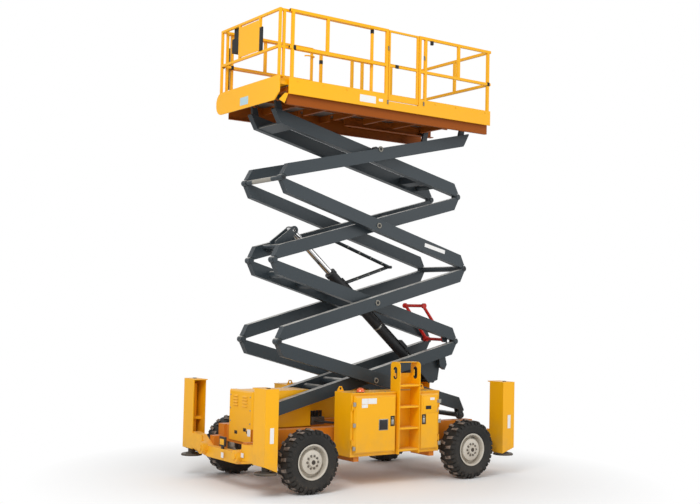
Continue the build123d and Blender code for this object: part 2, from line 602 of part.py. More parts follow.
save("steering_cylinder", steer_barrel)

# ---- chassis -------------------------------------------------------------------------------
FORK_INNER = (INNER_ARM_INNER_FACE, INNER_ARM_INNER_FACE + FORK_PLATE)
FORK_OUTER = (INNER_ARM_FACE - FORK_PLATE, INNER_ARM_FACE)
rail = prism_xz([
    (FRAME_FRONT, FRAME_BOTTOM + 70), (FRAME_FRONT + 220, FRAME_BOTTOM), (FRAME_REAR - 220, FRAME_BOTTOM),
    (FRAME_REAR, FRAME_BOTTOM + 70), (FRAME_REAR, FRAME_TOP), (FRAME_FRONT, FRAME_TOP),
], RAIL_INNER, RAIL_OUTER)
frame_pieces = both_sides(rail)
for x0, x1, z0, z1 in ((-1860, -1500, 560, 790), (-560, -440, 545, 690), (500, 620, 545, 690), (1690, 1880, 600, 700)):
    frame_pieces.append(block(x0, x1, -RAIL_INNER - 5, RAIL_INNER + 5, z0, z1))
for y0, y1 in (FORK_INNER, FORK_OUTER):
    ear = prism_xz([(-1700, 785), (-1520, 785), (FRONT_PIN_X + 46, BASE_PIN_Z), (FRONT_PIN_X - 46, BASE_PIN_Z)], y0, y1)
    ear += rod_y(FRONT_PIN_X, BASE_PIN_Z, y0, y1, 46)
    ear -= rod_y(FRONT_PIN_X, BASE_PIN_Z, y0 - 1, y1 + 1, ARM_PIN_RADIUS + RUNNING_CLEARANCE)
    frame_pieces += both_sides(ear)
for centre_x in (FRONT_AXLE_X, REAR_AXLE_X):
    pad = block(centre_x - 60, centre_x + 60, RAIL_INNER + 15, RAIL_OUTER - 15, AXLE_Z + AXLE_HALF_DEPTH, FRAME_BOTTOM + 5)
    frame_pieces += both_sides(pad)
for end in (-1, 1):
    x0 = FRAME_FRONT + 60 if end < 0 else FRAME_REAR - 60
    x1 = FRAME_FRONT - 152 if end < 0 else FRAME_REAR + 212
    frame_pieces += both_sides(block(x0, x1, RAIL_INNER, RAIL_OUTER - 40, 400, 640))
# brackets under the side cabinets
for x in (-640, 700):
    frame_pieces += both_sides(block(x, x + 90, RAIL_OUTER - 5, CABINET_INNER_Y - 5, CABINET_BOTTOM - 70, 640))
    frame_pieces += both_sides(block(x, x + 90, RAIL_OUTER - 5, CABINET_FACE_Y - 30, CABINET_BOTTOM - 70, CABINET_BOTTOM))
save("chassis_frame", fused(frame_pieces))

# ---- outrigger beams, towers and jacks -----------------------------------------------------
TOWER_WALL = 14.0
TOWER_TOP = 1400.0
TOWER_OUTER_Y = TYRE_OUTER_FACE
TOWER_INNER_Y = 850.0
JACK_Y = 1030.0
PAD_RADIUS = 150.0
PAD_Z = 300.0
PAD_THICKNESS = 27.0
JACK_TUBE = 52.0
# end: sign, outer face, inner face, jack
TOWER_ENDS = {
    "front": (-1, FRAME_FRONT - 263, FRAME_FRONT - 65, FRAME_FRONT - 172),
    "rear": (1, FRAME_REAR + 323, FRAME_REAR + 90, FRAME_REAR + 212),
}


def tower(end_sign, x_outer, x_inner):
    """Open channel post with a sloping foot and a top cap, on the +Y side."""
    outline = [(x_outer, 413), (x_inner, 335), (x_inner, TOWER_TOP), (x_outer, TOWER_TOP)]
    post = prism_xz(outline, TOWER_INNER_Y, TOWER_OUTER_Y)
    wall = -end_sign * TOWER_WALL
    post -= block(x_outer + wall, x_inner - wall, TOWER_INNER_Y - 1, TOWER_OUTER_Y - TOWER_WALL, 300, TOWER_TOP - TOWER_WALL)
    lip = 45
    post += block(x_outer, x_inner, TOWER_INNER_Y - lip, TOWER_INNER_Y + 5, TOWER_TOP - TOWER_WALL, TOWER_TOP)
    return post


def guide(x_outer, x_inner, jack_x, z0, z1, end_sign):
    """Plate inside a tower, bored for the jack's tube."""
    wall = -end_sign * TOWER_WALL
    plate = block(x_outer + wall, x_inner - wall, JACK_Y - 85, TOWER_OUTER_Y - TOWER_WALL, z0, z1)
    return plate - rod_z(jack_x, JACK_Y, z0 - 1, z1 + 1, JACK_TUBE + 0.3)


towers = []
for name, (end_sign, x_outer, x_inner, jack_x) in TOWER_ENDS.items():
    post = tower(end_sign, x_outer, x_inner)
    post = fused([post, guide(x_outer, x_inner, jack_x, 440, 560, end_sign),
                  guide(x_outer, x_inner, jack_x, 820, 860, end_sign)])
    towers += both_sides(post)
    beam_outer = x_outer - end_sign * 13
    beam_inner = x_outer - end_sign * 111
    shelf = [(845, 420), (845, 660), (640, 640), (420, 512), (-420, 512), (-640, 640), (-845, 660), (-845, 420),
             (-420, 360), (420, 360)]
    cross = prism_yz(shelf, min(beam_outer, beam_inner), max(beam_outer, beam_inner))
    for side in (-1, 1):
        cross += rod_x(side * 485, 475, x_outer - end_sign * 20, x_outer + end_sign * 60, 85)
        cross += rod_x(side * 485, 475, x_outer, x_outer + end_sign * 78, 42)
        cross += block(beam_outer, x_outer - end_sign * 0, side * 560, side * 849.7, 430, 640)
    save(f"{name}_outrigger_beam", cross)
    for side_name, side in (("left", -1), ("right", 1)):
        leg = rod_z(jack_x, side * JACK_Y, PAD_Z + 20, 1330, JACK_TUBE)
        foot = rod_z(jack_x, side * JACK_Y, PAD_Z, PAD_Z + PAD_THICKNESS, PAD_RADIUS)
        foot = chamfer(foot.edges().group_by(Axis.Z)[-1], 10)
        foot += rod_z(jack_x, side * JACK_Y, PAD_Z + PAD_THICKNESS - 1, PAD_Z + 40, PAD_RADIUS - 70)
        save(f"jack_{name}_{side_name}", leg + foot)
save("outrigger_towers", towers)


# ---- front cover ---------------------------------------------------------------------------
COVER_FRONT = FRAME_FRONT + 23
COVER_REAR = COVER_FRONT + 1007
COVER_HEAD_REAR = COVER_FRONT + 112      # wide part, ahead of the arms' sweep
COVER_HEAD_HALF_WIDTH = 319.0
COVER_HALF_WIDTH = 230.0
COVER_TOP = 1296.0
COVER_BEVEL = 20.0
BEVEL_SHARE = 2 - math.sqrt(2)    # keeps the sheet's thickness inside a bevelled edge
APRON_BOTTOM = 600.0
LOUVRE_WIDTH = 120.0
LOUVRE_Y = 126.0
LOUVRE_PITCH = 42.0
LOUVRE_ROWS = 4
SIDE_LOUVRE_X = COVER_FRONT + 790



def cover_shape(inset, z0, z1):
    """T-shaped block in plan: a wide head, then a narrow body between the arms."""
    front = COVER_FRONT + inset
    head = COVER_HEAD_HALF_WIDTH - inset
    body = COVER_HALF_WIDTH - inset
    shoulder = COVER_HEAD_REAR - inset
    bevel = COVER_BEVEL - inset * BEVEL_SHARE
    outline = [
        (front + bevel, -head), (shoulder, -head), (shoulder, -body), (COVER_REAR - inset, -body),
        (COVER_REAR - inset, body), (shoulder, body), (shoulder, head), (front + bevel, head),
        (front, head - bevel), (front, -head + bevel),
    ]
    shape = prism_xy(outline, z0, z1)
    return chamfer(shape.edges().group_by(Axis.Z)[-1].filter_by(Axis.Y).sort_by(Axis.X)[0], bevel)


cover = cover_shape(0, FRAME_TOP - 5, COVER_TOP)
cover -= cover_shape(SHEET, FRAME_TOP - 6, COVER_TOP - SHEET)
head_half = COVER_HEAD_HALF_WIDTH - COVER_BEVEL
cover += block(COVER_FRONT, COVER_FRONT + 10, -head_half, head_half, APRON_BOTTOM, FRAME_TOP)
for y, z in ((111, 714), (-129, 768)):
    cover -= block(COVER_FRONT - 1, COVER_FRONT + 11, y - 42, y + 42, z - 24, z + 24)
for row in range(LOUVRE_ROWS):
    z = COVER_TOP - 78 - row * LOUVRE_PITCH
    for y in (-LOUVRE_Y, LOUVRE_Y):
        y0, y1 = y - LOUVRE_WIDTH / 2, y + LOUVRE_WIDTH / 2
        cover -= block(COVER_FRONT - 1, COVER_FRONT + SHEET + 1, y0, y1, z - 12, z + 6)
        cover += prism_xz([(COVER_FRONT, z + 11), (COVER_FRONT - 14, z - 8), (COVER_FRONT - 10, z - 10),
                           (COVER_FRONT, z + 5)], y0 - 4, y1 + 4)
    for y in (-COVER_HALF_WIDTH + SHEET / 2, COVER_HALF_WIDTH - SHEET / 2):
        cover -= block(SIDE_LOUVRE_X, SIDE_LOUVRE_X + LOUVRE_WIDTH, y - SHEET, y + SHEET, z - 12, z + 6)
save("front_cover", cover)

# ---- side cabinets and their doors ---------------------------------------------------------
HINGE_SET_BACK = 18.0             # hinge axis in front of the cabinet's face
HINGE_OFFSET = 24.0               # hinge axis to the door's edge
HINGE_RADIUS = 11.0
HINGE_PIN_RADIUS = 6.0
HINGE_Z = (620.0, 1110.0)
HINGE_HALF = 32.0
EAR_HEIGHT = 16.0
DOOR_BOTTOM = CABINET_BOTTOM + 40
DOOR_TOP = CABINET_TOP - 40
OPENING_MARGIN = 26.0
ROOF_LIP = 14.0
LADDER_X = (66.0, 441.0)
LADDER_RECESS_Y = 860.0
LADDER_OUTER_Y = 1072.0

# name: side, hinge edge, free edge
DOORS = {
    "cabinet_door_near_front": (-1, CABINET_FRONT + 40, LADDER_X[0] - 30),
    "cabinet_door_near_rear": (-1, CABINET_REAR - 40, LADDER_X[1] + 21),
    "cabinet_door_far_front": (1, CABINET_FRONT + 40, 50.0),
    "cabinet_door_far_rear": (1, CABINET_REAR - 40, 80.0),
}


def panel(x0, x1, z0, z1, side):
    """Door panel whose outer face stands proud with bevelled edges."""
    y_back = side * (CABINET_FACE_Y + DOOR_GAP)
    step = side * 16
    bevel = 24
    centre = ((x0 + x1) / 2, (z0 + z1) / 2)
    width, height = abs(x1 - x0), z1 - z0
    base = block(x0, x1, y_back, y_back + step, z0, z1)
    planes = [Plane(origin=(centre[0], y, centre[1]), x_dir=(1, 0, 0), z_dir=(0, side, 0))
              for y in (y_back + step, y_back + side * DOOR_DEPTH)]
    faces = [planes[0] * Rectangle(width, height), planes[1] * Rectangle(width - 2 * bevel, height - 2 * bevel)]
    return base + loft(faces)


def door(side, hinge_edge, free_edge):
    """Door with its two hinge barrels."""
    toward = math.copysign(1, free_edge - hinge_edge)
    axis_x = hinge_edge - toward * HINGE_OFFSET
    axis_y = side * (CABINET_FACE_Y + HINGE_SET_BACK)
    shape = panel(hinge_edge, free_edge, DOOR_BOTTOM, DOOR_TOP, side)
    for z in HINGE_Z:
        shape += block(axis_x, hinge_edge + toward * 5, axis_y - 3, axis_y + 3, z - HINGE_HALF, z + HINGE_HALF)
        shape += rod_z(axis_x, axis_y, z - HINGE_HALF, z + HINGE_HALF, HINGE_RADIUS)
        shape -= rod_z(axis_x, axis_y, z - HINGE_HALF - 1, z + HINGE_HALF + 1, HINGE_PIN_RADIUS + RUNNING_CLEARANCE)
    # pull recess near the free edge
    grip_x = free_edge - toward * 70
    grip_y = side * (CABINET_FACE_Y + DOOR_GAP + DOOR_DEPTH)
    shape -= block(grip_x - 28, grip_x + 28, grip_y - side * 12, grip_y + side, 840, 960)
    return shape


def cabinet(side):
    """Hollow sheet box with an opening behind each door."""
    inner, face = side * CABINET_INNER_Y, side * CABINET_FACE_Y
    shape = block(CABINET_FRONT, CABINET_REAR, inner, face, CABINET_BOTTOM, CABINET_TOP)
    shape += block(CABINET_FRONT, CABINET_REAR, face, face + side * ROOF_LIP, CABINET_TOP - 14, CABINET_TOP)
    hollow = block(CABINET_FRONT + SHEET, CABINET_REAR - SHEET, inner + side * SHEET, face - side * SHEET,
                   CABINET_BOTTOM + SHEET, CABINET_TOP - SHEET)
    if side < 0:
        recess_x = (LADDER_X[0] - 8, LADDER_X[1] + 8)
        recess = side * LADDER_RECESS_Y
        hollow -= block(recess_x[0] - SHEET, recess_x[1] + SHEET, recess - side * SHEET, face, CABINET_BOTTOM, CABINET_TOP)
        shape -= block(*recess_x, recess, face + side * (ROOF_LIP + 1), CABINET_BOTTOM - 1, CABINET_TOP + 1)
    shape -= hollow
    for door_side, hinge_edge, free_edge in DOORS.values():
        if door_side != side:
            continue
        toward = math.copysign(1, free_edge - hinge_edge)
        shape -= block(hinge_edge + toward * OPENING_MARGIN, free_edge - toward * OPENING_MARGIN,
                       face - side * (SHEET + 1), face + side, DOOR_BOTTOM + OPENING_MARGIN, DOOR_TOP - OPENING_MARGIN)
        axis_x = hinge_edge - toward * HINGE_OFFSET
        axis_y = side * (CABINET_FACE_Y + HINGE_SET_BACK)
        for z in HINGE_Z:
            for z_side in (-1, 1):
                z0 = z + z_side * (HINGE_HALF + 1)
                z1 = z0 + z_side * EAR_HEIGHT
                ear = block(axis_x - HINGE_RADIUS, axis_x + HINGE_RADIUS, face - side, axis_y, z0, z1)
                shape += ear + rod_z(axis_x, axis_y, z0, z1, HINGE_RADIUS)
            shape += rod_z(axis_x, axis_y, z - HINGE_HALF - 10, z + HINGE_HALF + 10, HINGE_PIN_RADIUS)
    for x in (CABINET_FRONT + 60, CABINET_REAR - 60):
        lug = prism_xz([(x - 58, CABINET_TOP - 2), (x + 58, CABINET_TOP - 2),
                        (x + 20, CABINET_TOP + 70), (x - 20, CABINET_TOP + 70)],
                       inner + side * 40, inner + side * 54)
        shape += lug - rod_y(x, CABINET_TOP + 38, inner, inner + side * 100, 19)
    return shape


save("cabinet_near", cabinet(-1))
save("cabinet_far", cabinet(1))
for name, (side, hinge_edge, free_edge) in DOORS.items():
    save(name, door(side, hinge_edge, free_edge))
save("battery_pack", block(CABINET_FRONT + 120, CABINET_REAR - 130, CABINET_INNER_Y + 36, CABINET_FACE_Y - 40,
                           CABINET_BOTTOM + SHEET, CABINET_BOTTOM + 420))

# ---- ladder --------------------------------------------------------------------------------
LADDER_TOP = 1715.0
LADDER_BOTTOM = CABINET_BOTTOM
LADDER_SIDE = 12.0
TREAD_LOWEST = CABINET_BOTTOM + 42
TREAD_PITCH = 300.0
TREAD_COUNT = 4
HAND_HOLE = (60.0, 150.0)         # width, height


def ladder_side(x0, x1):
    """Side plate with rounded top corners and a long hand hole."""
    y0, y1 = LADDER_RECESS_Y, LADDER_OUTER_Y
    centre = (-(y0 + y1) / 2, (LADDER_BOTTOM + LADDER_TOP) / 2)
    plane = Plane(origin=(x0, centre[0], centre[1]), x_dir=(0, 1, 0), z_dir=(1, 0, 0))
    plate = Rectangle(y1 - y0, LADDER_TOP - LADDER_BOTTOM)
    plate = fillet(plate.vertices().group_by(Axis.Y)[-1], 55)
    hole = Pos(0, (LADDER_TOP - LADDER_BOTTOM) / 2 - 155) * SlotOverall(HAND_HOLE[1], HAND_HOLE[0], rotation=90)
    return extrude(plane * (plate - hole), amount=x1 - x0, dir=(1, 0, 0))


ladder = [ladder_side(LADDER_X[0], LADDER_X[0] + LADDER_SIDE), ladder_side(LADDER_X[1] - LADDER_SIDE, LADDER_X[1])]
for index in range(TREAD_COUNT):
    z = TREAD_LOWEST + index * TREAD_PITCH
    ladder.append(block(LADDER_X[0], LADDER_X[1], -LADDER_OUTER_Y + 12, -LADDER_RECESS_Y, z, z + 26))
ladder.append(block(*LADDER_X, -LADDER_RECESS_Y - 10, -LADDER_RECESS_Y, CABINET_TOP + 20, CABINET_TOP + 250))
ladder.append(block(*LADDER_X, -LADDER_OUTER_Y + 60, -LADDER_RECESS_Y - 20, LADDER_TOP - 8, LADDER_TOP))
save("ladder", fused(ladder))

# ---- platform ------------------------------------------------------------------------------
FLOOR_BOTTOM = PLATFORM_PIN_Z + 66
FLOOR_TOP = FLOOR_BOTTOM + 19
TOE_TOP = FLOOR_TOP + 103
TOE_BOTTOM = TOE_TOP - TOE_BOARD_HEIGHT
TOP_RAIL_Z = FLOOR_TOP + 1022
MID_RAIL_Z = FLOOR_TOP + 518
TOE_PLATE = 16.0
UNDERFRAME_REAR = PLATFORM_REAR - TOE_PLATE
SIDE_RAIL_Y = PLATFORM_HALF_WIDTH - RAIL_TUBE / 2
CHANNEL_Y = (PLATFORM_HALF_WIDTH - 106, PLATFORM_HALF_WIDTH - 56)
CHANNEL_BOTTOM = PLATFORM_PIN_Z - 165

# underframe: side channels, cross-members, roller channels and pivot ears
under = []
web = block(PLATFORM_FRONT, UNDERFRAME_REAR, CHANNEL_Y[1] - 8, CHANNEL_Y[1], CHANNEL_BOTTOM, FLOOR_BOTTOM)
for z0, z1 in ((CHANNEL_BOTTOM, CHANNEL_BOTTOM + 9), (FLOOR_BOTTOM - 9, FLOOR_BOTTOM)):
    web += block(PLATFORM_FRONT, UNDERFRAME_REAR, CHANNEL_Y[0], CHANNEL_Y[1], z0, z1)
under += both_sides(web)
member_bottom = PLATFORM_PIN_Z - 30
for x in (-1180, -700, -150, 420, 990, 1560):
    under.append(block(x, x + 50, -420, 420, member_bottom, FLOOR_BOTTOM))
    under += both_sides(block(x, x + 50, 562, CHANNEL_Y[1] - 5, member_bottom, FLOOR_BOTTOM))
    under += both_sides(block(x, x + 50, 415, 565, FLOOR_BOTTOM - 8, FLOOR_BOTTOM))
for x0, x1 in ((PLATFORM_FRONT, PLATFORM_FRONT + 14), (UNDERFRAME_REAR - 14, UNDERFRAME_REAR)):
    under.append(block(x0, x1, -CHANNEL_Y[1], CHANNEL_Y[1], PLATFORM_PIN_Z + 58, FLOOR_BOTTOM))
under.append(block(-1740, -1480, -420, 420, PLATFORM_PIN_Z + 52, FLOOR_BOTTOM))
under += both_sides(block(-1740, -1700, 415, CHANNEL_Y[1] - 5, FLOOR_BOTTOM - 50, FLOOR_BOTTOM))
under += both_sides(block(PLATFORM_FRONT, UNDERFRAME_REAR, 130, 150, PLATFORM_PIN_Z + 20, FLOOR_BOTTOM))
for y0, y1 in (FORK_INNER, FORK_OUTER):
    ear = prism_xz([(FRONT_PIN_X - 70, FLOOR_BOTTOM), (FRONT_PIN_X + 70, FLOOR_BOTTOM),
                    (FRONT_PIN_X + ARM_EYE_RADIUS, PLATFORM_PIN_Z), (FRONT_PIN_X - ARM_EYE_RADIUS, PLATFORM_PIN_Z)], y0, y1)
    ear += rod_y(FRONT_PIN_X, PLATFORM_PIN_Z, y0, y1, ARM_EYE_RADIUS)
    ear -= rod_y(FRONT_PIN_X, PLATFORM_PIN_Z, y0 - 1, y1 + 1, ARM_PIN_RADIUS + RUNNING_CLEARANCE)
    under += both_sides(ear)
roller_half = PLATFORM_ROLLER_RADIUS + 5
channel_outer = PLATFORM_ROLLER_Y[1] + 20
channel = block(150, UNDERFRAME_REAR, channel_outer - 12, channel_outer, PLATFORM_PIN_Z - roller_half - 11, FLOOR_BOTTOM)
for z0, z1 in ((-roller_half - 11, -roller_half), (roller_half, FLOOR_BOTTOM - PLATFORM_PIN_Z)):
    channel += block(150, UNDERFRAME_REAR, PLATFORM_ROLLER_Y[0] - 1, channel_outer, PLATFORM_PIN_Z + z0, PLATFORM_PIN_Z + z1)
under += both_sides(channel)
save("platform_frame", fused(under))

TREAD_THICKNESS = 3.0
TREAD_FRONT = -260.0
TREAD_HALF_WIDTH = PLATFORM_HALF_WIDTH - 86

floor_half = PLATFORM_HALF_WIDTH - TOE_PLATE
floor = block(PLATFORM_FRONT, UNDERFRAME_REAR, -floor_half, floor_half, FLOOR_BOTTOM, FLOOR_TOP)
floor += block(TREAD_FRONT, UNDERFRAME_REAR - 30, -TREAD_HALF_WIDTH, TREAD_HALF_WIDTH, FLOOR_TOP, FLOOR_TOP + TREAD_THICKNESS)
save("platform_floor", floor)

GATE_X = (-66.0, 482.0)
GATE_AXIS = (-72.0, -PLATFORM_HALF_WIDTH + 42)
GATE_TUBE = 28.0
POST_ENDS = (PLATFORM_FRONT + 51, PLATFORM_REAR - 50)
NEAR_POSTS = (POST_ENDS[0], -100.0, 510.0, 620.0, POST_ENDS[1])
FAR_POSTS = (POST_ENDS[0], -117.0, 482.0, 681.0, POST_ENDS[1])
BALUSTERS = (-1130.0, 1265.0)     # short posts between middle and top rail
REAR_BALUSTER_Y = -30.0


def tube_x(x0, x1, y, z, size=RAIL_TUBE):
    return block(x0, x1, y - size / 2, y + size / 2, z - size / 2, z + size / 2)


def tube_y(x, y0, y1, z, size=RAIL_TUBE):
    return block(x - size / 2, x + size / 2, y0, y1, z - size / 2, z + size / 2)


def post(x, y, z0, z1, size=RAIL_TUBE):
    return block(x - size / 2, x + size / 2, y - size / 2, y + size / 2, z0, z1)


def side_rail(side, posts, gaps):
    """Posts, rails and toe-board along one side; gaps are the lengths between them."""
    y = side * SIDE_RAIL_Y
    half = RAIL_TUBE / 2
    pieces = [post(x, y, FLOOR_TOP, TOP_RAIL_Z + half) for x in posts]
    pieces += [post(x, y, MID_RAIL_Z, TOP_RAIL_Z) for x in BALUSTERS]
    for x0, x1 in gaps:
        for z in (TOP_RAIL_Z, MID_RAIL_Z):
            pieces.append(tube_x(x0, x1, y, z))
        pieces.append(block(x0, x1, side * (PLATFORM_HALF_WIDTH - TOE_PLATE), side * PLATFORM_HALF_WIDTH, TOE_BOTTOM, TOE_TOP))
    return pieces


near = side_rail(-1, NEAR_POSTS, [(PLATFORM_FRONT, -80), (490, PLATFORM_REAR)])
near.append(block(-100, 500, -PLATFORM_HALF_WIDTH, -PLATFORM_HALF_WIDTH + TOE_PLATE, TOE_BOTTOM, FLOOR_TOP))
for z in (FLOOR_TOP + 210, FLOOR_TOP + 800):
    for z_side in (-1, 1):
        z0 = z + z_side * 26
        ear = block(GATE_AXIS[0] - 25, GATE_AXIS[0], GATE_AXIS[1] - 4, GATE_AXIS[1] + 6, z0, z0 + z_side * 12)
        near.append(ear + rod_z(*GATE_AXIS, z0, z0 + z_side * 12, 7))
    near.append(rod_z(*GATE_AXIS, z - 30, z + 30, 4))
save("platform_rails_near", fused(near))
save("platform_rails_far", fused(side_rail(1, FAR_POSTS, [(PLATFORM_FRONT, PLATFORM_REAR)])))

end_half = SIDE_RAIL_Y - RAIL_TUBE / 2
end_x = PLATFORM_REAR - RAIL_TUBE / 2
rear = [tube_y(end_x, -end_half, end_half, z) for z in (TOP_RAIL_Z, MID_RAIL_Z)]
rear.append(post(end_x, REAR_BALUSTER_Y, MID_RAIL_Z, TOP_RAIL_Z))
rear.append(block(UNDERFRAME_REAR, PLATFORM_REAR, -end_half, end_half, FLOOR_BOTTOM, TOE_TOP))
save("platform_rails_rear", fused(rear))

gate_y = -SIDE_RAIL_Y
gate = [post(GATE_X[0] + GATE_TUBE / 2, gate_y, FLOOR_TOP + 12, TOP_RAIL_Z + 14, GATE_TUBE),
        post(GATE_X[1] - GATE_TUBE / 2, gate_y, FLOOR_TOP + 12, TOP_RAIL_Z + 14, GATE_TUBE)]
gate += [tube_x(*GATE_X, gate_y, z, GATE_TUBE) for z in (TOP_RAIL_Z, MID_RAIL_Z)]
gate.append(block(*GATE_X, gate_y - 8, gate_y + 8, FLOOR_TOP + 12, TOE_TOP))
for z in (FLOOR_TOP + 210, FLOOR_TOP + 800):
    gate.append(rod_z(*GATE_AXIS, z - 25, z + 25, 7) + block(GATE_AXIS[0], GATE_X[0] + 8, GATE_AXIS[1] - 10, GATE_AXIS[1] + 3, z - 25, z + 25))
gate = fused(gate)
gate -= rod_z(*GATE_AXIS, FLOOR_TOP, TOP_RAIL_Z, 4 + RUNNING_CLEARANCE)
save("platform_gate", gate)

# ---- sliding extension ---------------------------------------------------------------------
EXTENSION_FRONT = PLATFORM_FRONT - 166
DECK_REAR = -310.0
DECK_BOTTOM = FLOOR_TOP + 5
DECK_THICKNESS = 18.0
EXTENSION_TUBE = 34.0
EXTENSION_RAIL_Y = PLATFORM_HALF_WIDTH - 74
SHIELD_POST_Y = 280.0
END_HALF = PLATFORM_HALF_WIDTH + 20
END_TOP = TOE_TOP + 8
END_BOTTOM = END_TOP - 323
END_CORNER = 150.0                # far corners of the end plate
END_BEVEL = (126.0, 99.0)         # near lower corner of the end plate

deck_half = EXTENSION_RAIL_Y + EXTENSION_TUBE / 2 + 8
deck = [block(EXTENSION_FRONT + 14, DECK_REAR, -deck_half, deck_half, DECK_BOTTOM, DECK_BOTTOM + DECK_THICKNESS)]
deck += both_sides(block(EXTENSION_FRONT + 14, DECK_REAR, deck_half - 8, deck_half, DECK_BOTTOM, TOE_TOP - 12))
wear_strip = block(EXTENSION_FRONT + 200, DECK_REAR, EXTENSION_RAIL_Y - 92, EXTENSION_RAIL_Y - 32,
                   FLOOR_TOP + 0.3, DECK_BOTTOM)
deck += both_sides(wear_strip)
end_plate = prism_yz([
    (-END_HALF, END_TOP), (-END_HALF, END_BOTTOM + END_BEVEL[1]), (-END_HALF + END_BEVEL[0], END_BOTTOM),
    (END_HALF, END_BOTTOM), (END_HALF, END_TOP),
], EXTENSION_FRONT, EXTENSION_FRONT + 14)
end_plate = fillet(end_plate.edges().filter_by(Axis.X).group_by(Axis.Y)[-1], END_CORNER)
deck.append(end_plate)
deck.append(block(EXTENSION_FRONT, EXTENSION_FRONT + 90, -END_HALF, END_HALF - END_CORNER, TOE_TOP - 4, END_TOP))
save("extension_deck", fused(deck))

half = EXTENSION_TUBE / 2
deck_top = DECK_BOTTOM + DECK_THICKNESS
front_x = EXTENSION_FRONT + 20 + half
front_half = EXTENSION_RAIL_Y + EXTENSION_TUBE
rails = []
for side in (-1, 1):
    y = side * EXTENSION_RAIL_Y
    rails += [tube_x(EXTENSION_FRONT + 20, DECK_REAR, y, z, EXTENSION_TUBE) for z in (TOP_RAIL_Z, MID_RAIL_Z)]
    rails.append(post(DECK_REAR - half, y, deck_top, TOP_RAIL_Z, EXTENSION_TUBE))
    rails.append(post(front_x + 75, y, deck_top, TOP_RAIL_Z, EXTENSION_TUBE))
    corner_foot = END_TOP if side < 0 else TOE_TOP - 12
    rails.append(post(front_x, side * (front_half - half), corner_foot, TOP_RAIL_Z, EXTENSION_TUBE))
    rails.append(post(front_x, side * SHIELD_POST_Y, MID_RAIL_Z, TOP_RAIL_Z, EXTENSION_TUBE))
rails += [tube_y(front_x, -front_half, front_half, z, EXTENSION_TUBE) for z in (TOP_RAIL_Z, MID_RAIL_Z)]
save("extension_rails", fused(rails))

CONTROL_Y = (-298.0, 240.0)
CONTROL_Z = (TOP_RAIL_Z - 479, TOP_RAIL_Z - 49)
shield = block(front_x - half - 10, front_x - half - 0.3, *CONTROL_Y, *CONTROL_Z)
save("control_cover", shield)
BOX_Y = (265.0, 545.0)
BOX_X = front_x + half + 0.3
BOX_TOP = TOP_RAIL_Z - 155
controller = block(BOX_X, BOX_X + 150, *BOX_Y, BOX_TOP - 205, BOX_TOP)
controller = chamfer(controller.edges().filter_by(Axis.Y).group_by(Axis.Z)[-1].sort_by(Axis.X)[-1], 60)
controller += block(BOX_X, BOX_X + 14, BOX_Y[0] + 60, BOX_Y[1] - 60, BOX_TOP - 1, TOP_RAIL_Z + half + 6)
save("control_box", controller)
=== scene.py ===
"""Looks of the scissor lift: paint, rubber, plated steel, blank plates and small fittings."""
import json
import math

import bmesh
import bpy
from mathutils import Matrix, Vector


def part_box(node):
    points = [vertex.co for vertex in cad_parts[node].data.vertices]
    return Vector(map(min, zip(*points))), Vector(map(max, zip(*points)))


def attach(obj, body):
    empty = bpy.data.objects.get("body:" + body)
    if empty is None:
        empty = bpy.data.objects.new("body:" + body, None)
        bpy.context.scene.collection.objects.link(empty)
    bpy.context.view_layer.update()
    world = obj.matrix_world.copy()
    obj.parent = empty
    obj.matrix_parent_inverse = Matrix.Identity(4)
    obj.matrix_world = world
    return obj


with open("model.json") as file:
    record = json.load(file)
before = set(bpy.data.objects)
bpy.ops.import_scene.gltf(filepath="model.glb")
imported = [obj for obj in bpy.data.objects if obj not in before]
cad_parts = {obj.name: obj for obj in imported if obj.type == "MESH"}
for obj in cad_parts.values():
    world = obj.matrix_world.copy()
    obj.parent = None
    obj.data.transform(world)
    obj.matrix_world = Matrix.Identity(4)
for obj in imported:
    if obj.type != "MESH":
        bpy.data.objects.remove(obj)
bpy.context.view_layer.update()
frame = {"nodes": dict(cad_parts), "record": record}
NODES = frame["nodes"]
JOINTS = {joint["name"]: joint for joint in frame["record"]["behaviour"]["joints"]}


# ---- camera ----
def place_camera(position, yaw, pitch, roll, lens):
    """Camera at a point; yaw turns from +Y towards +X, angles in degrees."""
    yaw, pitch, roll = (math.radians(a) for a in (yaw, pitch, roll))
    forward = Vector((math.sin(yaw) * math.cos(pitch), math.cos(yaw) * math.cos(pitch), math.sin(pitch)))
    right = Vector((math.cos(yaw), -math.sin(yaw), 0.0))
    up = right.cross(forward)
    turned_right = right * math.cos(roll) + up * math.sin(roll)
    turned_up = up * math.cos(roll) - right * math.sin(roll)
    data = bpy.data.cameras.new("camera")
    data.lens = lens
    data.sensor_width = 36.0
    data.clip_end = 200.0
    camera = bpy.data.objects.new("camera", data)
    bpy.context.scene.collection.objects.link(camera)
    basis = Matrix((turned_right, turned_up, -forward)).transposed().to_4x4()
    camera.matrix_world = Matrix.Translation(position) @ basis
    bpy.context.scene.camera = camera


place_camera((-9.181, -12.758, 2.444), yaw=35.51, pitch=3.11, roll=1.23, lens=54.24)


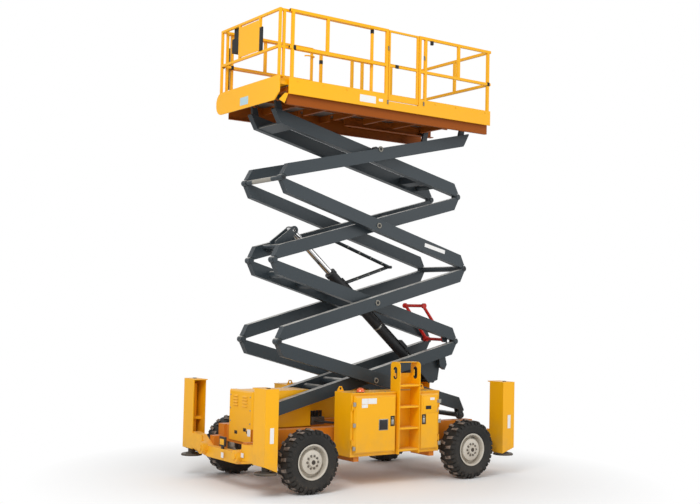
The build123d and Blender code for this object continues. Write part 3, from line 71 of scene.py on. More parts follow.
# ---- shader helpers ----
class Tree:
    """Short way to add and join nodes."""

    def __init__(self, tree):
        self.tree = tree

    def add(self, kind, inputs=None, **settings):
        node = self.tree.nodes.new(kind)
        for key, value in settings.items():
            setattr(node, key, value)
        for key, value in (inputs or {}).items():
            if isinstance(value, bpy.types.NodeSocket):
                self.tree.links.new(value, node.inputs[key])
            else:
                node.inputs[key].default_value = value
        return node

    def link(self, source, target):
        self.tree.links.new(source, target)

    def math(self, operation, a, b=0.0, clamp=False):
        return self.add("ShaderNodeMath", {0: a, 1: b}, operation=operation, use_clamp=clamp).outputs[0]

    def vector(self, operation, a, b=(0.0, 0.0, 0.0)):
        return self.add("ShaderNodeVectorMath", {0: a, 1: b}, operation=operation).outputs

    def place(self):
        return self.add("ShaderNodeTexCoord").outputs["Object"]

    def axes(self, vector):
        return self.add("ShaderNodeSeparateXYZ", {0: vector}).outputs

    def mix(self, factor, a, b):
        return self.add("ShaderNodeMix", {0: factor, 6: a, 7: b}, data_type="RGBA").outputs[2]

    def ramp(self, value, low, high):
        return self.add("ShaderNodeMapRange", {0: value, 1: low, 2: high}).outputs[0]

    def noise(self, vector, scale, detail=3.0, roughness=0.5):
        inputs = {"Vector": vector, "Scale": scale, "Detail": detail, "Roughness": roughness}
        return self.add("ShaderNodeTexNoise", inputs).outputs[0]


def new_group(name, inputs, outputs):
    """Shader group with float, colour or vector sockets."""
    kinds = {"value": "NodeSocketFloat", "colour": "NodeSocketColor", "vector": "NodeSocketVector"}
    group = bpy.data.node_groups.new(name, "ShaderNodeTree")
    for direction, sockets in (("INPUT", inputs), ("OUTPUT", outputs)):
        for label, kind in sockets:
            group.interface.new_socket(label, in_out=direction, socket_type=kinds[kind])
    tree = Tree(group)
    return group, tree, tree.add("NodeGroupInput"), tree.add("NodeGroupOutput")


def weather_group():
    """Edge wear, road dust that thins with height, slow colour drift and a painted highlight on upward faces.
    """
    group, tree, given, out = new_group(
        "weather",
        [("Rounded Normal", "vector"), ("Wear", "value"), ("Dust", "value"), ("Dust Height", "value"),
         ("Drift", "value"), ("Settled", "value")],
        [("Wear Mask", "value"), ("Dust Mask", "value"), ("Drift Value", "value"),
         ("Settled Mask", "value")],
    )
    place = tree.place()
    height = tree.axes(place)[2]
    flat = tree.add("ShaderNodeNewGeometry").outputs["True Normal"]
    along = tree.vector("DOT_PRODUCT", flat, given.outputs["Rounded Normal"])
    edge = tree.ramp(along["Value"], 0.97, 0.80)
    scratch = tree.ramp(tree.noise(place, 26.0, 6.0, 0.7), 0.50, 0.60)
    wear = tree.math("MULTIPLY", tree.math("MULTIPLY", edge, scratch), given.outputs["Wear"], clamp=True)
    tree.link(wear, out.inputs["Wear Mask"])
    low = tree.math("DIVIDE", height, given.outputs["Dust Height"])
    low = tree.math("SUBTRACT", 1.0, low, clamp=True)
    cloud = tree.ramp(tree.noise(place, 5.0, 5.0, 0.65), 0.30, 0.75)
    dust = tree.math("MULTIPLY", tree.math("MULTIPLY", low, cloud), given.outputs["Dust"], clamp=True)
    tree.link(dust, out.inputs["Dust Mask"])
    # Painted highlight: faces that point up are made paler, standing in for the sky's light on them.
    level = tree.ramp(tree.axes(flat)[2], 0.55, 0.90)
    grain = tree.ramp(tree.noise(place, 9.0, 4.0), 0.20, 0.55)
    settled = tree.math("MULTIPLY", tree.math("MULTIPLY", level, grain), given.outputs["Settled"])
    tree.link(settled, out.inputs["Settled Mask"])
    drift = tree.math("MULTIPLY", tree.noise(place, 1.3, 3.0), given.outputs["Drift"])
    tree.link(drift, out.inputs["Drift Value"])
    return group


def peel_group():
    """Fine height of sprayed paint or a cast skin."""
    group, tree, given, out = new_group("peel", [("Scale", "value")], [("Height", "value")])
    place = tree.place()
    fine = tree.noise(place, given.outputs["Scale"], 2.0)
    broad = tree.noise(place, 6.0, 2.0)
    height = tree.math("ADD", tree.math("MULTIPLY", fine, 0.35), tree.math("MULTIPLY", broad, 0.65))
    tree.link(height, out.inputs["Height"])
    return group


def region_group():
    """One inside a box that is mirrored across the middle plane, nothing outside it."""
    group, tree, given, out = new_group("region", [("Low", "vector"), ("High", "vector")],
                                        [("Mask", "value")])
    x, y, z = tree.axes(tree.place())
    folded = tree.add("ShaderNodeCombineXYZ", {0: x, 1: tree.math("ABSOLUTE", y), 2: z}).outputs[0]
    above = tree.vector("SUBTRACT", folded, given.outputs["Low"])[0]
    below = tree.vector("SUBTRACT", given.outputs["High"], folded)[0]
    x, y, z = tree.axes(tree.vector("MINIMUM", above, below)[0])
    inside = tree.math("MINIMUM", tree.math("MINIMUM", x, y), z)
    tree.link(tree.math("GREATER_THAN", inside, 0.0), out.inputs["Mask"])
    return group


WEATHER = weather_group()
REGION = region_group()
PEEL = peel_group()


def linear(red, green, blue):
    """Linear colour from 0-255 display values, by the sRGB curve."""
    def channel(value):
        value /= 255.0
        return value / 12.92 if value <= 0.04045 else ((value + 0.055) / 1.055) ** 2.4
    return (channel(red), channel(green), channel(blue), 1.0)


ROAD_DUST = linear(150, 128, 104)
# Pale grey of the painted highlight on upward faces.
PAINTED_TOP_HIGHLIGHT = linear(206, 202, 194)


def start_material(name):
    material = bpy.data.materials.new(name)
    material.use_nodes = True
    material.node_tree.nodes.clear()
    tree = Tree(material.node_tree)
    shader = tree.add("ShaderNodeBsdfPrincipled")
    output = tree.add("ShaderNodeOutputMaterial")
    tree.link(shader.outputs[0], output.inputs[0])
    return material, tree, shader


def weathered(tree, shader, edge, peel, peel_scale, **amounts):
    """Softened edges and fine bump on a shader; gives masks of wear, dust, colour drift and painted top
    highlight.
    """
    rounded = tree.add("ShaderNodeBevel", {"Radius": edge}, samples=4).outputs[0]
    weather = tree.add("ShaderNodeGroup", node_tree=WEATHER)
    tree.link(rounded, weather.inputs["Rounded Normal"])
    for label, value in amounts.items():
        weather.inputs[label.replace("_", " ").title()].default_value = value
    height = tree.add("ShaderNodeGroup", node_tree=PEEL)
    height.inputs["Scale"].default_value = peel_scale
    bump = tree.add("ShaderNodeBump", {"Height": height.outputs[0], "Distance": peel, "Normal": rounded})
    tree.link(bump.outputs[0], shader.inputs["Normal"])
    return weather.outputs


def painted(name, colour, worn, roughness=0.36, wear=0.6, dust=0.5, metallic=0.0, coat=0.0, settled=0.15,
            shine=0.3, peel=0.0004, peel_scale=260.0, second=None):
    """Paint or plating with drifted colour, worn edges, dust low down, a painted highlight on top faces and
    softened edges.

    Colours are 0-255 display values. second is (colour, low corner, high corner) of a part of the
    piece that has another colour."""
    material, tree, shader = start_material(name)
    masks = weathered(tree, shader, 0.004, peel, peel_scale, wear=wear, dust=dust, dust_height=1.0,
                      drift=0.25, settled=settled)
    paint = linear(*colour)
    darker = tuple(c * 0.80 for c in paint[:3]) + (1.0,)
    base = tree.mix(masks["Drift Value"], paint, darker)
    if second is not None:
        region = tree.add("ShaderNodeGroup", node_tree=REGION)
        region.inputs["Low"].default_value = second[1]
        region.inputs["High"].default_value = second[2]
        base = tree.mix(region.outputs["Mask"], base, linear(*second[0]))
    base = tree.mix(masks["Wear Mask"], base, linear(*worn))
    # Painted highlight: upward faces lightened towards pale grey.
    base = tree.mix(masks["Settled Mask"], base, PAINTED_TOP_HIGHLIGHT)
    base = tree.mix(masks["Dust Mask"], base, ROAD_DUST)
    tree.link(base, shader.inputs["Base Color"])
    dulled = tree.math("ADD", tree.math("MULTIPLY", masks["Dust Mask"], 0.5), roughness)
    drifted = tree.math("MULTIPLY", masks["Drift Value"], 0.3)
    tree.link(tree.math("ADD", dulled, drifted, clamp=True), shader.inputs["Roughness"])
    shader.inputs["Metallic"].default_value = metallic
    shader.inputs["Specular IOR Level"].default_value = shine
    shader.inputs["Coat Weight"].default_value = coat
    shader.inputs["Coat Roughness"].default_value = 0.08
    return material


YELLOW = painted("yellow_paint", (250, 180, 6), (176, 132, 52), 0.34)
FRAME_YELLOW = painted("frame_paint", (216, 126, 20), (150, 96, 46), 0.40, dust=0.6, shine=0.2)
UNDER_BROWN = painted("underframe_paint", (152, 78, 18), (104, 60, 30), 0.5, shine=0.15)
# The arms' pale worn colour is partly real edge wear and partly a painted edge highlight; their strong
# upward-face value is a painted highlight on their tops.
ARM_LOOK = {"colour": (52, 60, 65), "worn": (168, 166, 158), "roughness": 0.34, "wear": 1.0, "dust": 0.2,
            "settled": 0.75, "shine": 0.25}
ARM_GREY = painted(
    "arm_paint", second=((150, 146, 136), (-1.668, 0.0, 0.0), (-1.552, 0.255, 7.0)), **ARM_LOOK)
CRADLE_GREY = painted(
    "cradle_paint", second=((24, 25, 26), (0.95, 0.0, 1.10), (1.75, 0.25, 1.90)), **ARM_LOOK)
JACK_PAINT = painted("jack_paint", (30, 32, 34), (110, 108, 104), 0.42,
                     second=((236, 166, 10), (-3.0, 0.0, 0.44), (3.0, 2.0, 3.0)))
RIM_PAINT = painted("rim_paint", (208, 202, 190), (140, 128, 110), 0.42)
RED_PAINT = painted("red_paint", (204, 34, 22), (120, 60, 50))
BLACK_METAL = painted("black_metal", (34, 35, 37), (110, 108, 104), 0.45)
BLACK_PLASTIC = painted("black_plastic", (28, 29, 31), (60, 60, 60), 0.55)
DARK_STEEL = painted("dark_steel", (112, 108, 102), (170, 168, 160), 0.4, metallic=0.6)
BRIGHT_STEEL = painted("bright_steel", (198, 198, 198), (222, 222, 222), 0.12, wear=0.2, dust=0.1,
                       metallic=1.0, peel=0.0001)
PLATED = painted("plated_steel", (158, 158, 152), (120, 118, 112), 0.3, metallic=0.9)
PIN_STEEL = painted("pin_steel", (138, 134, 124), (84, 80, 74), 0.5, metallic=0.3)
LABEL_WHITE = painted("label_white", (238, 238, 236), (190, 188, 180), 0.4, dust=0.3)
LABEL_BLUE = painted("label_blue", (176, 204, 214), (150, 160, 166), 0.4)
BEACON_AMBER = painted("beacon_amber", (236, 96, 14), (200, 90, 10), 0.12, coat=0.8)
HOSE_RUBBER = painted("hose_rubber", (26, 27, 28), (52, 52, 52), 0.5, peel_scale=600.0)


def rubber():
    """Tyre rubber: near black, pale where the lugs have worn, dusty low down."""
    material, tree, shader = start_material("tyre_rubber")
    masks = weathered(tree, shader, 0.006, 0.003, 90.0, wear=0.5, dust=0.35, dust_height=0.9, drift=0.8,
                      settled=0.1)
    place = tree.place()
    axes = tree.axes(place)
    from_axle = tree.math("SUBTRACT", tree.math("ABSOLUTE", axes[0]), WHEEL_X)
    above = tree.math("SUBTRACT", axes[2], WHEEL_Z)
    square = tree.math("MULTIPLY", from_axle, from_axle)
    square = tree.math("ADD", square, tree.math("MULTIPLY", above, above))
    crown = tree.ramp(tree.math("SQRT", square), WHEEL_Z - 0.010, WHEEL_Z - 0.003)
    patches = tree.ramp(tree.noise(place, 14.0, 4.0), 0.30, 0.60)
    crown = tree.math("MULTIPLY", crown, patches, clamp=True)
    base = tree.mix(masks["Drift Value"], linear(28, 29, 29), linear(44, 43, 41))
    base = tree.mix(masks["Wear Mask"], base, linear(96, 92, 88))
    base = tree.mix(crown, base, linear(150, 136, 126))
    base = tree.mix(masks["Dust Mask"], base, linear(98, 88, 78))
    tree.link(base, shader.inputs["Base Color"])
    shader.inputs["Roughness"].default_value = 0.66
    shader.inputs["Specular IOR Level"].default_value = 0.25
    return material


tyre_low, tyre_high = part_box("tyre_rear_left")
WHEEL_X = (tyre_low.x + tyre_high.x) / 2
WHEEL_Z = (tyre_low.z + tyre_high.z) / 2
TYRE_RUBBER = rubber()

MATERIAL_OF = {
    "yellow_paint": YELLOW, "frame_paint": FRAME_YELLOW, "underframe_paint": UNDER_BROWN,
    "arm_grey": ARM_GREY, "rim_paint": RIM_PAINT, "red_paint": RED_PAINT, "black_metal": BLACK_METAL,
    "black_plastic": BLACK_PLASTIC, "tyre_rubber": TYRE_RUBBER, "rod_steel": BRIGHT_STEEL,
    "floor_metal": DARK_STEEL, "battery_case": BLACK_PLASTIC,
}
OWN_MATERIAL = {"inner_arms_1": CRADLE_GREY}
for corner in ("front_left", "front_right", "rear_left", "rear_right"):
    OWN_MATERIAL[f"jack_{corner}"] = JACK_PAINT
for subpart in frame["record"]["subparts"]:
    mesh = NODES[subpart["node"]].data
    mesh.materials.clear()
    mesh.materials.append(OWN_MATERIAL.get(subpart["node"], MATERIAL_OF[subpart["material_slot"]]))


# ---- shapes ----
SMOOTH_BELOW = 40.0    # degrees; sharper edges than this stay hard


class Shape:
    """Mesh of bevelled blocks, turned parts and tubes, in metres."""

    def __init__(self):
        self.mesh = bmesh.new()

    def block(self, low, high, bevel=0.0, segments=2):
        """Box between two corners with rounded edges."""
        low, high = Vector(low), Vector(high)
        size = Matrix.Diagonal([abs(c) for c in high - low]).to_4x4()
        place = Matrix.Translation((low + high) / 2) @ size
        made = bmesh.ops.create_cube(self.mesh, size=1.0, matrix=place)
        if bevel:
            edges = list(dict.fromkeys(edge for vert in made["verts"] for edge in vert.link_edges))
            bmesh.ops.bevel(self.mesh, geom=edges, offset=bevel, segments=segments, profile=0.5,
                            affect="EDGES")
        return self

    def turned(self, start, end, profile, sides=24):
        """Solid turned about the line from start; profile holds (distance along it, radius) pairs."""
        start, end = Vector(start), Vector(end)
        turn = (end - start).to_track_quat("Z", "Y").to_matrix().to_4x4()
        place = Matrix.Translation(start) @ turn
        rings = []
        for along, radius in profile:
            if radius <= 0.0:
                rings.append([self.mesh.verts.new(place @ Vector((0.0, 0.0, along)))])
                continue
            angles = [2 * math.pi * i / sides for i in range(sides)]
            points = [Vector((radius * math.cos(a), radius * math.sin(a), along)) for a in angles]
            rings.append([self.mesh.verts.new(place @ point) for point in points])
        for first, second in zip(rings, rings[1:]):
            for i in range(sides):
                j = (i + 1) % sides
                if len(first) == 1:
                    corners = (first[0], second[j], second[i])
                elif len(second) == 1:
                    corners = (first[i], first[j], second[0])
                else:
                    corners = (first[i], first[j], second[j], second[i])
                self.mesh.faces.new(corners)
        return self

    def rod(self, start, end, radius, sides=16, bevel=0.001):
        """Round bar with softened ends."""
        length = (Vector(end) - Vector(start)).length
        profile = [(0, 0), (0, radius - bevel), (bevel, radius), (length - bevel, radius),
                   (length, radius - bevel), (length, 0)]
        return self.turned(start, end, profile, sides)

    def ring(self, start, end, inner, outer, sides=32):
        """Flat washer."""
        length = (Vector(end) - Vector(start)).length
        profile = [(0, inner), (0, outer), (length, outer), (length, inner), (0, inner)]
        return self.turned(start, end, profile, sides)

    def tube(self, points, radius):
        """Bent round bar or hose along a smooth line through control points."""
        data = bpy.data.curves.new("line", "CURVE")
        data.dimensions = "3D"
        spline = data.splines.new("NURBS")
        spline.points.add(len(points) - 1)
        for point, place in zip(spline.points, points):
            point.co = (*place, 1.0)
        spline.order_u = 3
        spline.use_endpoint_u = True
        data.bevel_depth = radius
        data.bevel_resolution = 4
        data.use_fill_caps = True
        data.resolution_u = 6
        carrier = bpy.data.objects.new("line", data)
        made = bpy.data.meshes.new_from_object(carrier)
        self.mesh.from_mesh(made)
        bpy.data.meshes.remove(made)
        bpy.data.objects.remove(carrier)
        bpy.data.curves.remove(data)
        return self

    def prism(self, outline, offset):
        """Polygon of points, swept by an offset."""
        low = [self.mesh.verts.new(point) for point in outline]
        high = [self.mesh.verts.new(Vector(point) + offset) for point in outline]
        self.mesh.faces.new(low)
        self.mesh.faces.new(high)
        for i in range(len(low)):
            self.mesh.faces.new((low[i - 1], low[i], high[i], high[i - 1]))
        return self

    def piece(self, name, body, slot, material=None):
        """Finished object that rides on a body, in its slot's own material unless another is given."""
        bmesh.ops.remove_doubles(self.mesh, verts=self.mesh.verts[:], dist=1e-6)
        bmesh.ops.recalc_face_normals(self.mesh, faces=self.mesh.faces[:])
        data = bpy.data.meshes.new(name)
        self.mesh.to_mesh(data)
        self.mesh.free()
        limit = math.cos(math.radians(SMOOTH_BELOW))
        data.polygons.foreach_set("use_smooth", [True] * len(data.polygons))
        sharp = bmesh.new()
        sharp.from_mesh(data)
        for edge in sharp.edges:
            faces = edge.link_faces
            edge.smooth = len(faces) == 2 and faces[0].normal.dot(faces[1].normal) > limit
        sharp.to_mesh(data)
        sharp.free()
        data.materials.append(material or MATERIAL_OF[slot])
        made = bpy.data.objects.new(name, data)
        bpy.context.scene.collection.objects.link(made)
        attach(made, body)
        return made


# ---- repeated fittings ----
def new_pattern(name, inputs):
    """Geometry tree with named inputs; the pattern's mesh goes out through a material."""
    kinds = {"size": "NodeSocketFloat", "count": "NodeSocketInt", "place": "NodeSocketVector",
             "material": "NodeSocketMaterial"}
    group = bpy.data.node_groups.new(name, "GeometryNodeTree")
    group.interface.new_socket("Points", in_out="INPUT", socket_type="NodeSocketGeometry")
    for label, kind in inputs:
        group.interface.new_socket(label, in_out="INPUT", socket_type=kinds[kind])
    group.interface.new_socket("Mesh", in_out="OUTPUT", socket_type="NodeSocketGeometry")
    tree = Tree(group)
    return group, tree, tree.add("NodeGroupInput").outputs, tree.add("NodeGroupOutput")


def finish_pattern(tree, given, out, instances):
    """Real mesh with its material at the end of a geometry tree."""
    real = tree.add("GeometryNodeRealizeInstances", {0: instances}).outputs[0]
    coloured = tree.add("GeometryNodeSetMaterial", {"Geometry": real, "Material": given["Material"]})
    tree.link(coloured.outputs[0], out.inputs["Mesh"])


HEX_CORNER = 0.577    # corner radius of a hexagon that is one across its flats


def bolt_tree():
    """Hexagon heads on washers, each facing the way its point says."""
    group, tree, given, out = new_pattern("hex_bolts", [("Across", "size"), ("Height", "size"),
                                                        ("Material", "material")])
    radius = tree.math("MULTIPLY", given["Across"], HEX_CORNER)
    head = tree.add("GeometryNodeMeshCylinder", {"Vertices": 6, "Radius": radius, "Depth": given["Height"]})
    flange = tree.add("GeometryNodeMeshCylinder", {
        "Vertices": 20, "Radius": tree.math("MULTIPLY", given["Across"], 0.85),
        "Depth": tree.math("MULTIPLY", given["Height"], 0.4)})
    lift = tree.add("ShaderNodeCombineXYZ", {2: tree.math("MULTIPLY", given["Height"], 0.6)})
    raised = tree.add("GeometryNodeTransform", {"Geometry": head.outputs[0], "Translation": lift.outputs[0]})
    bolt = tree.add("GeometryNodeJoinGeometry")
    tree.link(raised.outputs[0], bolt.inputs[0])
    tree.link(flange.outputs[0], bolt.inputs[0])
    facing = tree.add("GeometryNodeInputNamedAttribute", {"Name": "facing"}, data_type="FLOAT_VECTOR")
    turn = tree.add("FunctionNodeAlignRotationToVector", {"Vector": facing.outputs[0]}, axis="Z")
    placed = tree.add("GeometryNodeInstanceOnPoints", {
        "Points": given["Points"], "Instance": bolt.outputs[0], "Rotation": turn.outputs[0]})
    finish_pattern(tree, given, out, placed.outputs[0])
    return group


def tread_tree():
    """Raised lozenges in a chequer, each row turned the other way."""
    group, tree, given, out = new_pattern("tread_pattern", [
        ("Length", "size"), ("Width", "size"), ("Along", "count"), ("Across", "count"), ("Lozenge", "size"),
        ("Height", "size"), ("Centre", "place"), ("Material", "material")])
    grid = tree.add("GeometryNodeMeshGrid", {"Size X": given["Length"], "Size Y": given["Width"],
                                             "Vertices X": given["Along"], "Vertices Y": given["Across"]})
    moved = tree.add("GeometryNodeTransform", {"Geometry": grid.outputs[0], "Translation": given["Centre"]})
    ball = tree.add("GeometryNodeMeshIcoSphere", {"Radius": 1.0, "Subdivisions": 1})
    half = tree.math("MULTIPLY", given["Lozenge"], 0.5)
    narrow = tree.math("MULTIPLY", half, 0.36)
    size = tree.add("ShaderNodeCombineXYZ", {0: half, 1: narrow, 2: given["Height"]})
    lozenge = tree.add("GeometryNodeTransform", {"Geometry": ball.outputs[0], "Scale": size.outputs[0]})
    index = tree.add("GeometryNodeInputIndex").outputs[0]
    row = tree.math("FLOOR", tree.math("DIVIDE", index, given["Across"]))
    parity = tree.math("MODULO", tree.math("ADD", row, tree.math("MODULO", index, given["Across"])), 2.0)
    angle = tree.math("ADD", tree.math("MULTIPLY", parity, math.pi / 2), math.pi / 4)
    turn = tree.add("ShaderNodeCombineXYZ", {2: angle})
    placed = tree.add("GeometryNodeInstanceOnPoints", {
        "Points": moved.outputs[0], "Instance": lozenge.outputs[0], "Rotation": turn.outputs[0]})
    finish_pattern(tree, given, out, placed.outputs[0])
    return group


BOLTS = bolt_tree()
TREAD = tread_tree()


def patterned(name, body, tree, sizes, points=((0, 0, 0),), facing=None):
    """Runs a geometry tree over points and keeps its mesh as one piece."""
    seed = bpy.data.meshes.new(name)
    seed.from_pydata([tuple(p) for p in points], [], [])
    if facing is not None:
        attribute = seed.attributes.new("facing", "FLOAT_VECTOR", "POINT")
        for item, value in zip(attribute.data, facing):
            item.vector = value
    made = bpy.data.objects.new(name, seed)
    bpy.context.scene.collection.objects.link(made)
    modifier = made.modifiers.new("pattern", "NODES")
    modifier.node_group = tree
    for item in tree.interface.items_tree:
        if item.in_out == "INPUT" and item.name in sizes:
            modifier[item.identifier] = sizes[item.name]
    ready = made.evaluated_get(bpy.context.evaluated_depsgraph_get())
    result = bpy.data.meshes.new_from_object(ready)
    made.modifiers.remove(modifier)
    made.data = result
    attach(made, body)
    return made


def bolts(name, body, material, places, across=0.018, height=0.010):
    """Hexagon bolts; places holds (point, facing) pairs."""
    sizes = {"Across": across, "Height": height, "Material": material}
    points, facing = zip(*places)
    return patterned(name, body, BOLTS, sizes, points, facing)


def tread(name, body, material, low, high, pitch=0.055, lozenge=0.034, height=0.0025):
    """Chequer pattern over a level rectangle; its top plane is the height of both corners."""
    length, width = high[0] - low[0], high[1] - low[1]
    sizes = {
        "Length": length, "Width": width, "Along": max(2, round(length / pitch)),
        "Across": max(2, round(width / pitch)), "Lozenge": lozenge, "Height": height,
        "Centre": ((low[0] + high[0]) / 2, (low[1] + high[1]) / 2, low[2]), "Material": material,
    }
    return patterned(name, body, TREAD, sizes)


SIDES = {-1: "near", 1: "far"}


def blank_plate(name, body, low, high, material=LABEL_WHITE):
    """Thin plate without any marking, with softened corners."""
    Shape().block(low, high, 0.0005, 1).piece(name, body, "yellow_paint", material)


# ---- arms: pin rings, bolts and a blank plate ----
PIN_HEAD_FACE = 0.5484      # from the middle plane
ARM_PLATE_FACE = -0.5402


def place_of(joint):
    return Vector(JOINTS[joint]["pos_m"])


def arm_fittings():
    """Pale rings on the pins' ends, black discs in the centre rings as painted shade of the pins' recesses,
    and a bolt in each end pin.
    """
    boss_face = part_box("outer_arms_1")[1].y
    for level in range(1, 5):
        centre = place_of(f"centre_pin_{level}")
        rings = Shape()
        ends = Shape()
        for side in SIDES:
            face = side * boss_face
            rings.ring((centre.x, face, centre.z), (centre.x, face + side * 0.0025, centre.z), 0.024, 0.039)
            # Painted shade: a black disc over the pin's recess stands in for the shadow inside it.
            ends.rod((centre.x, face, centre.z), (centre.x, face + side * 0.0012, centre.z), 0.0235, 24)
        rings.piece(f"centre_pin_rings_{level}", f"inner_arms_{level}", "rod_steel", PIN_STEEL)
        ends.piece(f"centre_pin_recess_shade_{level}", f"inner_arms_{level}", "black_metal")
    front, rear = place_of("scissor"), place_of("inner_joint_2")
    for level in range(2, 5):
        inner = place_of(f"inner_joint_{level}")
        outer_x = front.x + rear.x - inner.x
        body = f"outer_arms_{level}"
        places = []
        rings = Shape()
        for side in SIDES:
            face = side * PIN_HEAD_FACE
            rings.ring((outer_x, face, inner.z), (outer_x, face + side * 0.0015, inner.z), 0.013, 0.028)
            places.append(((outer_x, face, inner.z), (0, side, 0)))
        rings.piece(f"outer_pin_rings_{level}", body, "black_metal")
        bolts(f"outer_pin_bolts_{level}", body, BLACK_METAL, places, 0.014, 0.0012)


def arm_plate():
    """Blank plate on the near side's third outer arm, set along the arm."""
    corners = ((0.917, 3.463), (1.314, 3.370), (1.307, 3.314), (0.910, 3.406))
    plate = Shape().prism([(x, ARM_PLATE_FACE, z) for x, z in corners], Vector((0.0, -0.0012, 0.0)))
    plate.piece("arm_plate", "outer_arms_3", "yellow_paint", LABEL_WHITE)


arm_fittings()
arm_plate()


# ---- wheels ----
LUGS = 36              # on a tyre's shoulder, with as many holes in its wall
LUG_WIDTH = 0.042
FIRST_LUG = 3.6        # degrees past the top of the tyre
NUT_CIRCLE = 0.085
HOLE_CIRCLE = 0.338
VALVE_CIRCLE = 0.178


def wheel_fittings(place, side):
    """Wheel nuts, hub cap, shoulder lugs, holes in the tyre's wall and a valve stem."""
    body = f"wheel_{place}"
    low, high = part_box(f"rim_{place}")
    tyre_low, tyre_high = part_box(f"tyre_{place}")
    centre = (low + high) / 2
    outer = tyre_high.y if side > 0 else tyre_low.y

    def around(radius, angle):
        """X and Z of a point on a circle about the axle."""
        return centre.x + radius * math.cos(angle), centre.z + radius * math.sin(angle)

    nuts = []
    for index in range(10):
        x, z = around(NUT_CIRCLE, 2 * math.pi * index / 10)
        nuts.append(((x, outer - side * 0.034, z), (0, side, 0)))
    bolts(f"wheel_nuts_{place}", body, DARK_STEEL, nuts, 0.019, 0.014)
    hub = Shape().turned(
        (centre.x, outer - side * 0.0125, centre.z), (centre.x, outer, centre.z),
        [(0, 0), (0, 0.030), (0.003, 0.030), (0.006, 0.024), (0.006, 0.015), (0.001, 0.013), (0.001, 0)], 28)
    hub.piece(f"hub_cap_{place}", body, "black_metal")
    shoulder = Shape()
    for index in range(LUGS):
        angle = math.radians(index * 360 / LUGS + side * 5 + FIRST_LUG)
        out = Vector((math.sin(angle), 0.0, math.cos(angle)))
        along = Vector((math.cos(angle), 0.0, -math.sin(angle)))
        foot, tip = (0.350, 0.412) if index % 2 == 0 else (0.366, 0.404)
        outline = []
        for radius, inset in ((foot, 0.0015), (foot, 0.016), (tip, 0.048), (tip, 0.024), (0.392, 0.008)):
            point = Vector((centre.x, outer - side * inset, centre.z)) + out * radius
            outline.append(point - along * (LUG_WIDTH / 2))
        shoulder.prism(outline, along * LUG_WIDTH)
    shoulder.piece(f"shoulder_lugs_{place}", body, "tyre_rubber")
    holes = Shape()
    for index in range(LUGS):
        x, z = around(HOLE_CIRCLE, 2 * math.pi * index / LUGS)
        holes.ring((x, outer - side * 0.002, z), (x, outer - side * 0.0002, z), 0.006, 0.0095, 10)
    holes.piece(f"wall_holes_{place}", body, "tyre_rubber", HOSE_RUBBER)
    x, z = around(VALVE_CIRCLE, math.radians(70))
    stem = Shape().rod((x, outer - side * 0.112, z), (x, outer - side * 0.060, z), 0.005)
    stem.rod((x, outer - side * 0.064, z), (x, outer - side * 0.044, z), 0.007)
    stem.piece(f"valve_stem_{place}", body, "black_metal")


for end in ("front", "rear"):
    wheel_fittings(f"{end}_left", -1)
    wheel_fittings(f"{end}_right", 1)


# ---- cabinets and doors ----
LATCH_INSET = 0.07
LATCH_HEIGHT = 0.43


def door_latch(door, free_is_high, face_side):
    """Black escutcheon with a plated paddle, over the door's pull recess."""
    low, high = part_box(door)
    middle_x = high.x - LATCH_INSET if free_is_high else low.x + LATCH_INSET
    face = low.y if face_side < 0 else high.y
    middle_z = low.z + LATCH_HEIGHT

    def at(x, out, z):
        """Point of the latch from its middle, out from the door's face."""
        return middle_x + x, face + face_side * out, middle_z + z

    escutcheon = Shape()
    for low_z, high_z in ((-0.070, -0.058), (0.058, 0.070)):
        escutcheon.block(at(-0.036, 0, low_z), at(0.036, 0.005, high_z), 0.0015)
    for low_x, high_x in ((-0.036, -0.026), (0.026, 0.036)):
        escutcheon.block(at(low_x, 0, -0.060), at(high_x, 0.005, 0.060), 0.0015)
    escutcheon.block(at(-0.027, -0.0115, -0.059), at(0.027, -0.009, 0.059))
    escutcheon.piece(f"latch_frame_{door}", door, "black_plastic")
    paddle = Shape().block(at(-0.022, -0.009, -0.050), at(0.022, 0.004, 0.022), 0.004, 3)
    paddle.turned(at(0, -0.009, 0.040), at(0, 0.004, 0.040),
                  [(0, 0), (0, 0.013), (0.011, 0.013), (0.013, 0.011), (0.013, 0)])
    paddle.piece(f"latch_paddle_{door}", door, "rod_steel", PLATED)


def door_hinges(door, edge_is_high, face_side):
    """Three knuckle hinges on the door's fixed edge."""
    low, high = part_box(door)
    x = high.x - 0.006 if edge_is_high else low.x + 0.006
    leaf_end = x - 0.040 if edge_is_high else x + 0.040
    face = low.y if face_side < 0 else high.y
    knuckle = face + face_side * 0.003
    hinges = Shape()
    for z in (low.z + 0.08, (low.z + high.z) / 2, high.z - 0.11):
        hinges.rod((x, knuckle, z - 0.030), (x, knuckle, z + 0.030), 0.0075)
        hinges.block((x, face, z - 0.026), (leaf_end, face + face_side * 0.0025, z + 0.026))
    hinges.piece(f"hinges_{door}", door, "rod_steel", PLATED)


for door, free_is_high, side in (
        ("cabinet_door_near_front", True, -1), ("cabinet_door_near_rear", False, -1),
        ("cabinet_door_far_front", True, 1), ("cabinet_door_far_rear", False, 1)):
    door_latch(door, free_is_high, side)
    door_hinges(door, not free_is_high, side)


